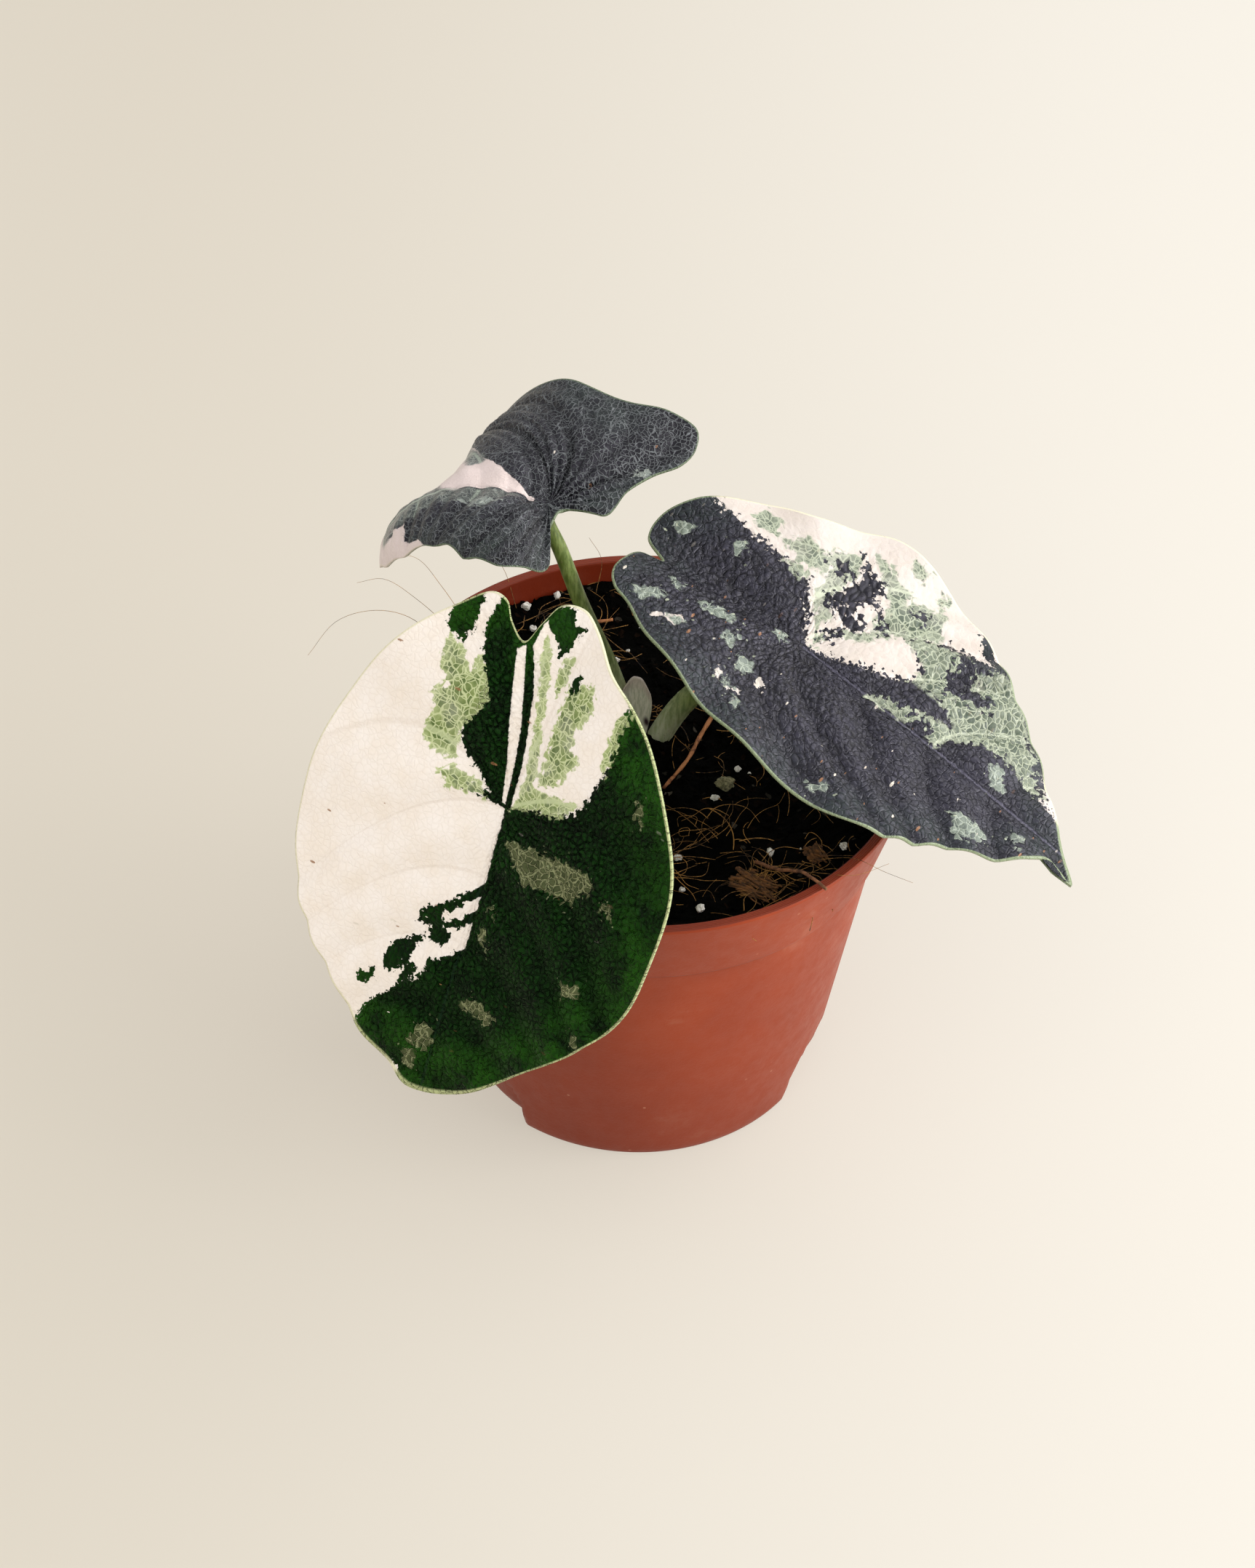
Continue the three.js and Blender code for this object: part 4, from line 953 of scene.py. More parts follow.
def pot_material():
    """Injection-moulded polypropylene: satin, with faint stains and scuffs and a turned lip, and
    painted shade at its foot, under the collar, inside and on the lip's top.
    """
    s = Surface("moulded_terracotta_plastic")
    place = s.add("place")
    x, y, z = s.add("x", place).node.outputs
    radius = s.add("SQRT", s.add("ADD", s.add("MULTIPLY", x, x), s.add("MULTIPLY", y, y)))
    clouds = s.add("noise", place, 0.03 * PER_MM, 3, 0.6)
    colour = s.add("mix", s.add("ramp", clouds, 0.3, 0.7), "#8D320D", "#9A3A12")
    stain = s.add("ramp", s.add("noise", place, 0.06 * PER_MM, 6, 0.65), 0.58, 0.72)
    colour = s.add("mix", s.add("MULTIPLY", stain, 0.16), colour, "#B98A74")
    # Painted shade: the wall darkens towards the foot
    colour = s.add("mix", s.add("ramp", z, 0.0, 70 * MM, 0.5, 0.0), colour, "#6A210E")
    grit = s.add("cells", place, 0.35 * PER_MM)
    chance = s.add("chance", grit.node.outputs["Color"])
    speck = s.add("MULTIPLY", s.add("ramp", grit, 0.08, 0.16, 1.0, 0.0),
                  s.add("ramp", chance, 0.9, 0.93))
    colour = s.add("mix", s.add("MULTIPLY", speck, 0.45), colour, "#C08468")
    shoulder = POT_HEIGHT - COLLAR_HEIGHT
    # Painted shade: a dark band just under the collar's step, where its shadow falls
    grime_and_shade = s.add("MULTIPLY", s.add("ramp", z, (shoulder - 1.6) * MM, (shoulder - 0.2) * MM),
                  s.add("ramp", z, (shoulder + 0.1) * MM, (shoulder + 0.3) * MM, 1.0, 0.0))
    colour = s.add("mix", s.add("MULTIPLY", grime_and_shade, 0.7), colour, "#4A170C")
    lip = s.add("ramp", z, (POT_HEIGHT - 0.35) * MM, (POT_HEIGHT - 0.1) * MM)
    wander = s.add("MULTIPLY", s.add("noise", place, 0.2 * PER_MM, 3, 0.6), 1.2)
    turned = s.add("ADD", s.add("SINE", s.add("MULTIPLY", radius, 15.0 / MM)), wander)
    turned = s.add("ramp", turned, 0.0, 1.6)
    # The lip's top is darker, with fine rings: the rings are turning marks, and the darkening of
    # the whole top is painted shade
    turned_marks_and_shade = s.add("MULTIPLY", lip, s.add("ramp", turned, 0.0, 1.0, 0.75, 0.3))
    colour = s.add("mix", turned_marks_and_shade, colour, "#5A1D10")
    # Painted shade: the inside of the wall, which the rim shades, is darker
    inner = s.add("attribute", attribute_name="inner")
    colour = s.add("mix", s.add("MULTIPLY", inner, 0.6), colour, "#64190F")
    worn = s.add("noise", place, 0.25 * PER_MM, 6, 0.7)
    roughness = s.add("ramp", worn, 0.3, 0.7, 0.4, 0.54)
    skin = s.add("bump", s.add("noise", place, 1.4 * PER_MM, 4, 0.6), 0.05 * MM)
    rings = s.add("bump", s.add("MULTIPLY", turned, lip), 0.05 * MM, skin)
    return s.finish(colour, roughness, rings, IOR=1.49, Specular_IOR_Level=0.3)


# Stalks, rhizome and sheath

RHIZOME_TOP = 77
STALK_FOOT = RHIZOME_TOP + GAP
STALK_END = BLADE_THICKNESS / 2 + GAP


def stalk_top(leaf, below):
    return tuple(np.array(leaf["attachment"]) - below * blade_axes(leaf)[2])


# Each stalk's radius at its foot and at its top, and its route
STALKS = {
    "a": (2.4, 2.0, ((-1.6, 4.2, STALK_FOOT), (-1.6, 4.2, 81), (-6.5, -6, 96), (-16, -25, 107),
                     stalk_top(LEAF_A, 6), stalk_top(LEAF_A, STALK_END))),
    "b": (2.8, 2.1, ((2.6, 8.6, STALK_FOOT), (2.6, 8.6, 80.5), (9.5, 6.6, 97), (20, 4.2, 108.5),
                     stalk_top(LEAF_B, 5), stalk_top(LEAF_B, STALK_END))),
    "c": (1.9, 1.6, ((-3, 11.2, STALK_FOOT), (-3, 11.2, 83), (-7.4, 9.8, 101), (-14.6, 9.2, 121.5),
                     (-19.6, 9, 138), stalk_top(LEAF_C, 4), stalk_top(LEAF_C, STALK_END))),
}


def smooth_route(route, steps):
    """Evenly spaced points on a smooth curve through the route's points."""
    points = np.array(route, dtype=float)
    padded = np.vstack((2 * points[0] - points[1], points, 2 * points[-1] - points[-2]))
    stretches = len(padded) - 3
    dense = []
    for index in range(stretches):
        parts = np.linspace(0, 1, 40, endpoint=index == stretches - 1)[:, None]
        dense.append(curve_point(*padded[index:index + 4], parts))
    dense = np.vstack(dense)
    run = np.concatenate(([0], np.cumsum(np.linalg.norm(np.diff(dense, axis=0), axis=1))))
    even = np.linspace(0, run[-1], steps + 1)
    return np.column_stack([np.interp(even, run, dense[:, axis]) for axis in range(3)])


def tube_faces(steps, sides):
    """The skin between rings of points, ring by ring."""
    faces = []
    for step in range(steps):
        for side in range(sides):
            a, b = step * sides + side, step * sides + (side + 1) % sides
            faces.append((a, b, b + sides, a + sides))
    return faces


def sweep(name, route, foot, top, material, sides=28, steps=90, swell=None):
    """A closed round stem along a route; swell(along, turn) gives how far its skin stands out."""
    centres = smooth_route(route, steps)
    ahead = np.gradient(centres, axis=0)
    ahead /= np.linalg.norm(ahead, axis=1, keepdims=True)
    across = np.cross(ahead[0], (0.3, 1, 0.2))
    rings, along_values = [], []
    turns = np.arange(sides) / sides * 2 * math.pi
    for step, (centre, direction) in enumerate(zip(centres, ahead)):
        across = across - direction * np.dot(across, direction)
        across /= np.linalg.norm(across)
        other = np.cross(direction, across)
        along = step / steps
        radius = foot + (top - foot) * along
        if swell:
            radius = radius + swell(along, turns)
        rings.append(centre + np.outer(radius * np.cos(turns), across)
                     + np.outer(radius * np.sin(turns), other))
        along_values += [along] * sides
    points = np.vstack(rings + [centres[:1], centres[-1:]])
    faces = tube_faces(steps, sides)
    last = steps * sides
    for side in range(sides):
        faces.append((last + sides, (side + 1) % sides, side))
        faces.append((last + sides + 1, last + side, last + (side + 1) % sides))
    piece = make_piece(name, points, faces, material)
    store(piece, "along", along_values + [0.0, 1.0])
    return piece


def stalk_material():
    """Leaf-stalk skin: smooth and waxy, pale green with whitish streaks that run along it."""
    s = Surface("waxy_stalk_skin")
    place = s.add("place")
    streaks = s.add("noise", s.add("stretch", place, (1.0, 1.0, 0.18)), 1.1 * PER_MM, 4, 0.6)
    green = s.add("mix", s.add("ramp", streaks, 0.35, 0.65), "#4A5C22", "#78874A")
    pale = s.add("mix", s.add("ramp", streaks, 0.3, 0.7), "#A5AF86", "#D2D3BE")
    along = s.add("attribute", attribute_name="along")
    colour = s.add("mix", s.add("ramp", along, 0.02, 0.5), pale, green)
    flecks = s.add("ramp", s.add("noise", place, 1.6 * PER_MM, 2, 0.6), 0.62, 0.7)
    colour = s.add("mix", s.add("MULTIPLY", flecks, 0.35), colour, "#6B5A4C")
    return s.finish(colour, 0.4, s.add("bump", streaks, 0.08 * MM), IOR=1.42,
                    Subsurface_Weight=0.08, Subsurface_Scale=2 * MM)


def stalk_swell(along, turn):
    """A stalk isn't quite round, and has a shallow groove along one side."""
    return 0.05 * np.sin(3 * turn + 5 * along) - 0.16 * np.exp(-((turn - 4.4) / 0.35) ** 2)


def build_stalks():
    skin = stalk_material()
    for letter, (foot, top, route) in STALKS.items():
        piece = sweep(f"leaf_stalk_{letter}", route, foot, top, skin, swell=stalk_swell)
        settle(piece, "stalk_skin", f"stalk_{letter}")


def dress_rhizome():
    """The stem base, deep in the soil, keeps its CAD form."""
    bark = root_material("rhizome_bark", "#4A2A18", "#8A5A38")
    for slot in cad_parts["rhizome"].material_slots:
        slot.material = bark


def sheath_material():
    """Withered sheath: thin, papery and half see-through, with fine lines and a purple blot."""
    s = Surface("withered_sheath_paper")
    place = s.add("place")
    lines = s.add("noise", s.add("stretch", place, (1.0, 1.0, 0.12)), 2.4 * PER_MM, 3, 0.6)
    colour = s.add("mix", s.add("ramp", lines, 0.35, 0.65), "#B9BBA6", "#E0DDCE")
    along = s.add("attribute", attribute_name="along")
    colour = s.add("mix", s.add("ramp", along, 0.25, 0.0), colour, "#8E9A6C")
    colour = s.add("mix", s.add("ramp", along, 0.8, 1.0, 0.0, 0.6), colour, "#BBA5A0")
    from_blot = s.add("attribute", attribute_name="blot")
    colour = s.add("mix", s.add("ramp", from_blot, 0.2, 1.0, 1.0, 0.0), colour, "#2C1020")
    return s.finish(colour, 0.6, s.add("bump", lines, 0.12 * MM), Transmission_Weight=0.12, IOR=1.4)


SHEATH_HEIGHT = 19.6
SHEATH_THICKNESS = 0.7


def sheath_middle(side, up):
    """A point of the flap's middle layer: side runs from -1 to 1 across it, up from 0 to 1."""
    half_width = 2.6 + 1.9 * up - 1.2 * up ** 6
    ruffle = 0.12 * math.sin(9 * side + 4 * up) * up
    x = -3.1 + 0.9 * up + side * half_width
    y = 7.95 - 1.1 * side ** 2 + 1.8 * up ** 3 * (1 - side ** 2) + ruffle
    return x, y, STALK_FOOT + 3 + SHEATH_HEIGHT * up * (1 - 0.14 * side ** 2)


def build_sheath():
    """The flap's front and back and the four edges between them."""
    columns, rows = 28, 44
    front, back, along_values, blot = [], [], [], []
    for row in range(rows + 1):
        up = row / rows
        for column in range(columns + 1):
            side = column / columns * 2 - 1
            x, y, z = sheath_middle(side, up)
            front.append((x, y - SHEATH_THICKNESS / 2, z))
            back.append((x, y + SHEATH_THICKNESS / 2, z))
            along_values.append(up)
            blot.append(math.hypot((side - 0.85) * 3.5, (up - 0.5) * 9))
    count = len(front)
    faces = []
    for row in range(rows):
        for column in range(columns):
            a = row * (columns + 1) + column
            b, c, d = a + 1, a + columns + 2, a + columns + 1
            faces.append((a, b, c, d))
            faces.append((a + count, d + count, c + count, b + count))
        left, right = row * (columns + 1), row * (columns + 1) + columns
        faces.append((left, left + columns + 1, left + columns + 1 + count, left + count))
        faces.append((right + columns + 1, right, right + count, right + columns + 1 + count))
    for column in range(columns):
        top = rows * (columns + 1) + column
        faces.append((column + 1, column, column + count, column + 1 + count))
        faces.append((top, top + 1, top + 1 + count, top + count))
    piece = make_piece("sheath_flap", front + back, faces, sheath_material())
    store(piece, "along", along_values * 2)
    store(piece, "blot", blot * 2)
    settle(piece, "dry_sheath", "sheath")


# Soil and what lies on it, in mm: a grain has a size, a chip a length, a width and a bearing in
# degrees, and a root its radius and its route on the ground
GRAINS = ((-28, 47, 1.3), (-21, 51, 1.1), (-26, 41, 1.0), (-7, 33, 1.0), (16, -10, 1.1),
          (21, 0, 0.9), (28, -27, 1.1), (44, -24, 1.2), (8, -29, 1.0), (4, -43, 1.2), (9, -38, 0.9),
          (13, -45, 1.3))
CHIPS = ((25, -37, 12, 7, -35), (38, -27, 7, 4, -60), (-14, 38, 9, 4, 15))
ROOTS = ((0.5, ((15.5, 16), (12.4, 9), (9.8, 1.5), (4.6, -7.5))),
         (0.5, ((-32, 27), (-25, 35), (-16, 43), (-8, 46))))
PEBBLE = (18, -5.5, 1.9)

# Where loose fibres lie in tangles: middle x and y, spread, how many, and their mean bearing
TANGLES = ((23, -37, 8, 34, 35), (35, -32, 7, 22, -30), (15, -20, 9, 16, 80), (3, -31, 6, 20, 10),
           (-20, 40, 8, 24, 60), (-34, 22, 9, 16, 100), (26, 14, 14, 12, 40), (8, 30, 16, 16, 150),
           (-20, 8, 12, 10, 30), (-6, -20, 12, 10, 120))
FIBRE_AREA_RADIUS = 54


def soil_height(x, y):
    """The mix lies lumpy, mounds up at the crown, creeps up the wall and is banked at the back."""
    from_crown = math.hypot(x - CROWN[0], y - CROWN[1])
    mound = 2.2 * math.exp(-((from_crown / 14) ** 2))
    lumps = (0.7 * math.sin(x * 0.21 + 1.3) * math.cos(y * 0.19 - 0.6)
             + 0.45 * math.sin(x * 0.37 - y * 0.29 + 2.1))
    edge = 1.2 * (math.hypot(x, y) / 56) ** 4
    bank = 5 / (1 + math.exp((54 - 0.9 * y + 0.45 * x) / 5))
    return SOIL_LEVEL + mound + lumps + edge + bank


# The twig's radius at each end, and its route from the soil over the rim
TWIG = (0.45, 0.35, ((24.8, -29.7, soil_height(24.8, -29.7) + 0.4), (29.5, -35.4, 87),
                     (35, -41.4, POT_HEIGHT + 0.6), (39.6, -46, POT_HEIGHT + GAP + 0.45)))


def soil_reach(z):
    """Inner radius of the collar at a height, less the gap."""
    foot, top = COLLAR_FOOT_RADIUS - WALL, RIM_RADIUS - RIM_WIDTH - WALL / 3
    low, high = POT_HEIGHT - COLLAR_HEIGHT + WALL, POT_HEIGHT - 4
    return foot + (top - foot) * (z - low) / (high - low) - GAP


def soil_material():
    """Damp potting mix: black-brown peat, rough and matt, with paler crumbs and tiny grit."""
    s = Surface("damp_peat_mix")
    place = s.add("place")
    crumbs = s.add("cells", place, 0.9 * PER_MM)
    chance = s.add("chance", crumbs.node.outputs["Color"])
    grime_and_shade = s.add("noise", place, 0.6 * PER_MM, 6, 0.7)
    colour = s.add("mix", s.add("ramp", grime_and_shade, 0.5, 0.8), "#010100", "#080503")
    colour = s.add("mix", s.add("ramp", chance, 0.93, 0.99, 0.0, 0.35), colour, "#2A1A10")
    colour = s.add("mix", s.add("ramp", chance, 0.015, 0.0, 0.0, 0.3), colour, "#8B8276")
    relief = s.add("bump", grime_and_shade, 0.8 * MM, s.add("bump", crumbs, 0.5 * MM))
    return s.finish(colour, 0.95, relief, Specular_IOR_Level=0.05)


def build_soil(material):
    """The soil's crumbly top and its hidden sides, closed underneath."""
    spokes, rings = 260, 78
    bearings = [spoke / spokes * 2 * math.pi for spoke in range(spokes)]
    points = []
    for ring in range(1, rings + 1):
        for bearing in bearings:
            edge_x, edge_y = 54 * math.cos(bearing), 54 * math.sin(bearing)
            reach = soil_reach(soil_height(edge_x, edge_y)) * ring / rings
            x, y = reach * math.cos(bearing), reach * math.sin(bearing)
            crumb = noise.fractal(Vector((x, y, 3.1)) * 0.42, 0.9, 2.2, 4)
            lump = noise.noise(Vector((x, y, 9.4)) * 0.14)
            points.append((x, y, soil_height(x, y) + 0.75 * crumb + 0.8 * lump))
    centre = len(points)
    points.append((0, 0, soil_height(0, 0)))
    skirt = len(points)
    underside = POT_FLOOR + GAP
    points += [(52 * math.cos(bearing), 52 * math.sin(bearing), 74) for bearing in bearings]
    for bearing in bearings:
        wall = pot_wall(BASE_RADIUS - WALL - GAP, underside, np.array([bearing]))[0] - 0.4
        points.append((wall * math.cos(bearing), wall * math.sin(bearing), underside))
    base = len(points)
    points.append((0, 0, underside))
    faces = []
    for spoke in range(spokes):
        beside = (spoke + 1) % spokes
        faces.append((centre, spoke, beside))
        for ring in range(rings - 1):
            a, b = ring * spokes + spoke, ring * spokes + beside
            faces.append((a, a + spokes, b + spokes, b))
        rim, rim_beside = (rings - 1) * spokes + spoke, (rings - 1) * spokes + beside
        low, low_beside = skirt + spoke, skirt + beside
        faces.append((rim, low, low_beside, rim_beside))
        faces.append((low, low + spokes, low_beside + spokes, low_beside))
        faces.append((base, low_beside + spokes, low + spokes))
    return make_piece("potting_mix", points, faces, material)


def scatter_tree(name, build_shape, material, settings):
    """Geometry Nodes that scatter a shape over the upward faces of a surface. The settings are the
    least and greatest turn and scale of a copy."""
    tree = bpy.data.node_groups.new(name, "GeometryNodeTree")
    tree.is_modifier = True
    tree.interface.new_socket("Geometry", in_out="INPUT", socket_type="NodeSocketGeometry")
    for key, kind in (("Density", "Float"), ("Size", "Float"), ("Seed", "Int")):
        tree.interface.new_socket(key, in_out="INPUT", socket_type=f"NodeSocket{kind}")
    tree.interface.new_socket("Geometry", in_out="OUTPUT", socket_type="NodeSocketGeometry")
    start = add_node(tree, "NodeGroupInput")
    normal = add_node(tree, "GeometryNodeInputNormal")
    upward = add_node(tree, "ShaderNodeSeparateXYZ", {}, {0: normal.outputs[0]})
    is_top = add_node(tree, "FunctionNodeCompare",
                      {"data_type": "FLOAT", "operation": "GREATER_THAN"},
                      {0: upward.outputs[2], 1: 0.5})
    dots = add_node(tree, "GeometryNodeDistributePointsOnFaces", {}, {
        "Mesh": start.outputs["Geometry"], "Selection": is_top.outputs[0],
        "Density": start.outputs["Density"], "Seed": start.outputs["Seed"]})
    shape = build_shape(tree, start.outputs["Size"])
    turn = add_node(tree, "FunctionNodeRandomValue", {"data_type": "FLOAT_VECTOR"}, {
        "Min": settings["turn_min"], "Max": settings["turn_max"], "Seed": start.outputs["Seed"]})
    grow = add_node(tree, "FunctionNodeRandomValue", {"data_type": "FLOAT_VECTOR"}, {
        "Min": settings["grow_min"], "Max": settings["grow_max"], "Seed": start.outputs["Seed"]})
    placed = add_node(tree, "GeometryNodeInstanceOnPoints", {}, {
        "Points": dots.outputs["Points"], "Instance": shape,
        "Rotation": turn.outputs[0], "Scale": grow.outputs[0]})
    real = add_node(tree, "GeometryNodeRealizeInstances", {}, {"Geometry": placed.outputs[0]})
    coat = add_node(tree, "GeometryNodeSetMaterial", {},
                    {"Geometry": real.outputs[0], "Material": material})
    end = add_node(tree, "NodeGroupOutput")
    tree.links.new(coat.outputs[0], end.inputs[0])
    return tree


def scatter(name, ground, tree, density, size, seed):
    """Run a scatter tree on the ground and keep its result as a plain mesh."""
    holder = bpy.data.objects.new(name, ground.data.copy())
    bpy.context.collection.objects.link(holder)
    modifier = holder.modifiers.new("scatter", "NODES")
    modifier.node_group = tree
    values = {"Density": density, "Size": size, "Seed": seed}
    for item in tree.interface.items_tree:
        if item.in_out == "INPUT" and item.name in values:
            modifier[item.identifier] = values[item.name]
    bpy.context.view_layer.update()
    shape = holder.evaluated_get(bpy.context.evaluated_depsgraph_get())
    mesh = bpy.data.meshes.new_from_object(shape)
    holder.modifiers.remove(modifier)
    holder.data = mesh
    return holder


def crumb_shape(tree, size):
    """A ball with its points shifted by noise, as rough as it is large."""
    ball = add_node(tree, "GeometryNodeMeshIcoSphere", {}, {"Radius": size, "Subdivisions": 2})
    wobble = add_node(tree, "ShaderNodeTexNoise", {"noise_dimensions": "3D"},
                      {"Scale": 1400.0, "Detail": 1.0})
    shift = add_node(tree, "ShaderNodeVectorMath", {"operation": "SUBTRACT"},
                     {0: wobble.outputs["Color"], 1: (0.5, 0.5, 0.5)})
    spread = add_node(tree, "ShaderNodeVectorMath", {"operation": "SCALE"}, {0: shift.outputs[0]})
    double = add_node(tree, "ShaderNodeMath", {"operation": "MULTIPLY"}, {0: size, 1: 1.6})
    tree.links.new(double.outputs[0], spread.inputs["Scale"])
    bent = add_node(tree, "GeometryNodeSetPosition", {}, {
        "Geometry": ball.outputs[0], "Offset": spread.outputs[0]})
    return bent.outputs[0]


def fibre_shape(tree, size):
    """A thin bent fibre that lies across the ground; size is its reach."""
    def point(x, y, z):
        made = add_node(tree, "ShaderNodeVectorMath", {"operation": "SCALE"}, {0: (x, y, z)})
        tree.links.new(size, made.inputs["Scale"])
        return made.outputs[0]
    bow = add_node(tree, "GeometryNodeCurveQuadraticBezier", {}, {
        "Resolution": 9, "Start": point(-1, -0.3, -0.12), "Middle": point(0.1, 0.55, 0.3),
        "End": point(1, -0.2, -0.05)})
    section = add_node(tree, "GeometryNodeCurvePrimitiveCircle", {},
                       {"Resolution": 5, "Radius": 0.09 * MM})
    tube = add_node(tree, "GeometryNodeCurveToMesh", {}, {
        "Curve": bow.outputs[0], "Profile Curve": section.outputs[0], "Fill Caps": True})
    return tube.outputs[0]


def rough_stone(name, place, radii, turn_deg, material, grain, seed, detail=4, facets=0.0):
    """A small lump: a ball pressed to three radii, chipped along flat facets and roughened."""
    shape = bmesh.new()
    bmesh.ops.create_icosphere(shape, subdivisions=detail, radius=1)
    spin = Matrix.Rotation(math.radians(turn_deg), 3, "Z")
    chance = np.random.default_rng(seed)
    cuts = [Vector(chance.normal(size=3)).normalized() for _ in range(9)]
    for vert in shape.verts:
        rough = 1 + grain * noise.fractal(vert.co * 1.7 + Vector((seed, 0, seed)), 0.8, 2.1, 3)
        beyond = max(vert.co.dot(cut) for cut in cuts) - (1 - facets)
        if beyond > 0:
            rough *= 1 - beyond
        vert.co = spin @ Vector([vert.co[axis] * radii[axis] * rough for axis in range(3)])
        vert.co = (vert.co + Vector(place)) * MM
    mesh = bpy.data.meshes.new(name)
    shape.to_mesh(mesh)
    shape.free()
    mesh.materials.append(material)
    mesh.polygons.foreach_set("use_smooth", [True] * len(mesh.polygons))
    piece = bpy.data.objects.new(name, mesh)
    bpy.context.collection.objects.link(piece)
    return piece


def thread(route, foot, top, sides=5, steps=14):
    """Points and faces of one thin closed fibre along a route."""
    centres = smooth_route(route, steps)
    ahead = np.gradient(centres, axis=0)
    ahead /= np.linalg.norm(ahead, axis=1, keepdims=True)
    turns = np.arange(sides) / sides * 2 * math.pi
    points = []
    for step, (centre, direction) in enumerate(zip(centres, ahead)):
        across = np.cross(direction, (0.31, 0.17, 0.93))
        across /= np.linalg.norm(across)
        other = np.cross(direction, across)
        radius = foot + (top - foot) * step / steps
        ring = centre + radius * (np.outer(np.cos(turns), across) + np.outer(np.sin(turns), other))
        points += ring.tolist()
    caps = [tuple(range(sides))[::-1], tuple(steps * sides + side for side in range(sides))]
    return points, caps + tube_faces(steps, sides)


def bundle(threads):
    """Points and faces of many threads as one mesh."""
    points, faces = [], []
    for thread_points, thread_faces in threads:
        faces += [tuple(corner + len(points) for corner in face) for face in thread_faces]
        points += thread_points
    return points, faces


def bark_shred(name, place, length, width, turn_deg, material, seed):
    """A torn chunk of husk: a bundle of stiff strands side by side, each a little out of line."""
    chance = np.random.default_rng(seed)
    count = 24
    turn = math.radians(turn_deg)
    ahead = np.array((math.cos(turn), math.sin(turn), 0))
    beside = np.array((-math.sin(turn), math.cos(turn), 0))
    strands = []
    for strand in range(count):
        across = (strand + 0.5) / count * 2 - 1
        reach = length / 2 * (0.55 + 0.45 * math.sqrt(1 - across ** 2)) * chance.uniform(0.5, 1.05)
        lean = beside * chance.uniform(-0.3, 0.3) * reach
        middle = (np.array(place) + beside * across * width / 2
                  + np.array((0, 0, chance.uniform(-0.2, 0.9) * (1 - across ** 2))))
        route = [middle + (ahead * reach + lean) * t + beside * chance.uniform(-0.35, 0.35)
                 + np.array((0, 0, chance.uniform(-0.25, 0.35))) for t in (-1, -0.45, 0.1, 0.55, 1)]
        strands.append(thread(route, chance.uniform(0.2, 0.45), chance.uniform(0.1, 0.22), sides=7))
    return make_piece(name, *bundle(strands), material)


def lying_fibre(chance, x, y, spread, bearing):
    """A route of a curled fibre on the soil, as far as the soil reaches."""
    spot = np.array((x, y)) + chance.normal(size=2) * spread * 0.5
    heading = math.radians(bearing + chance.normal() * 45)
    bow = chance.normal() * 0.5
    stride = chance.uniform(1.4, 4.2)
    high = chance.uniform(0.2, 1.1)
    route = []
    for step in range(5):
        if np.hypot(*spot) > FIBRE_AREA_RADIUS:
            break
        lift = high * math.sin(math.pi * step / 4) + 0.35
        route.append((spot[0], spot[1], soil_height(*spot) + 0.5 + lift))
        spot = spot + stride * np.array((math.cos(heading), math.sin(heading)))
        heading += bow + chance.normal() * 0.3
    return route


def build_tangles(material):
    """Long coir fibres that lie curled in tangles on the soil."""
    chance = np.random.default_rng(21)
    fibres = []
    for x, y, spread, count, bearing in TANGLES:
        for _ in range(count):
            route = lying_fibre(chance, x, y, spread, bearing)
            if len(route) >= 3:
                radius = chance.uniform(0.05, 0.12)
                fibres.append(thread(route, radius, radius * 0.5))
    settle(make_piece("coir_tangles", *bundle(fibres), material), "bark")


# Stray hairs that rise from the soil and reach over the rim
STRAYS = (((-45, 30, 88), (-54, 34, 93.5), (-62, 33, 96), (-70, 30, 95), (-76, 24, 90)),
          ((-42, 33, 88), (-52, 39, 94), (-60, 42, 97.5), (-66, 41, 97)),
          ((-40, 36, 88.5), (-47, 44, 94), (-53, 51, 96), (-60, 54, 94.5)),
          ((39, -30, 85), (46, -37, 92.6), (52, -42, 94), (58, -44, 93)),
          ((30, -34, 85.5), (38, -39, 90), (46, -42, 92.8), (53, -39, 93.5)),
          ((-30, 44, 88), (-33, 51, 93), (-37, 56, 95.5), (-40, 58, 95)),
          ((-12, 50, 88), (-11, 56, 93), (-14, 60, 96)),
          ((2, 50, 86), (4, 56, 92.5), (2, 61, 94.5)))


def build_strays(material):
    hairs = [thread(route, 0.07, 0.035, steps=24) for route in STRAYS]
    settle(make_piece("stray_hairs", *bundle(hairs), material), "bark")


def perlite_material():
    """Expanded perlite: chalky white, pitted, a little soiled."""
    s = Surface("chalky_perlite")
    place = s.add("place")
    stain = s.add("ramp", s.add("noise", place, 0.8 * PER_MM, 4, 0.6), 0.45, 0.75)
    colour = s.add("mix", stain, "#EAE7E0", "#9A9184")
    pits = s.add("cells", place, 2.2 * PER_MM)
    return s.finish(colour, 0.9, s.add("bump", pits, 0.25 * MM))


def pebble_material():
    """Weathered pebble: matt, greenish grey, with darker pores."""
    s = Surface("weathered_pebble")
    pores = s.add("noise", s.add("place"), 1.4 * PER_MM, 5, 0.7)
    colour = s.add("mix", s.add("ramp", pores, 0.35, 0.65), "#4F4F36", "#A39C78")
    return s.finish(colour, 0.85, s.add("bump", pores, 0.4 * MM))


def bark_material():
    """Composted bark: fibrous, red-brown and dry, its grain running lengthwise."""
    s = Surface("composted_bark")
    lengthwise = s.add("stretch", s.add("place"), (0.35, 1.0, 1.0), (0, 0, 0.5))
    grain = s.add("noise", lengthwise, 1.2 * PER_MM, 6, 0.7)
    colour = s.add("mix", s.add("ramp", grain, 0.3, 0.7), "#1E1008", "#8A5A2C")
    return s.finish(colour, 0.9, s.add("bump", grain, 0.6 * MM))


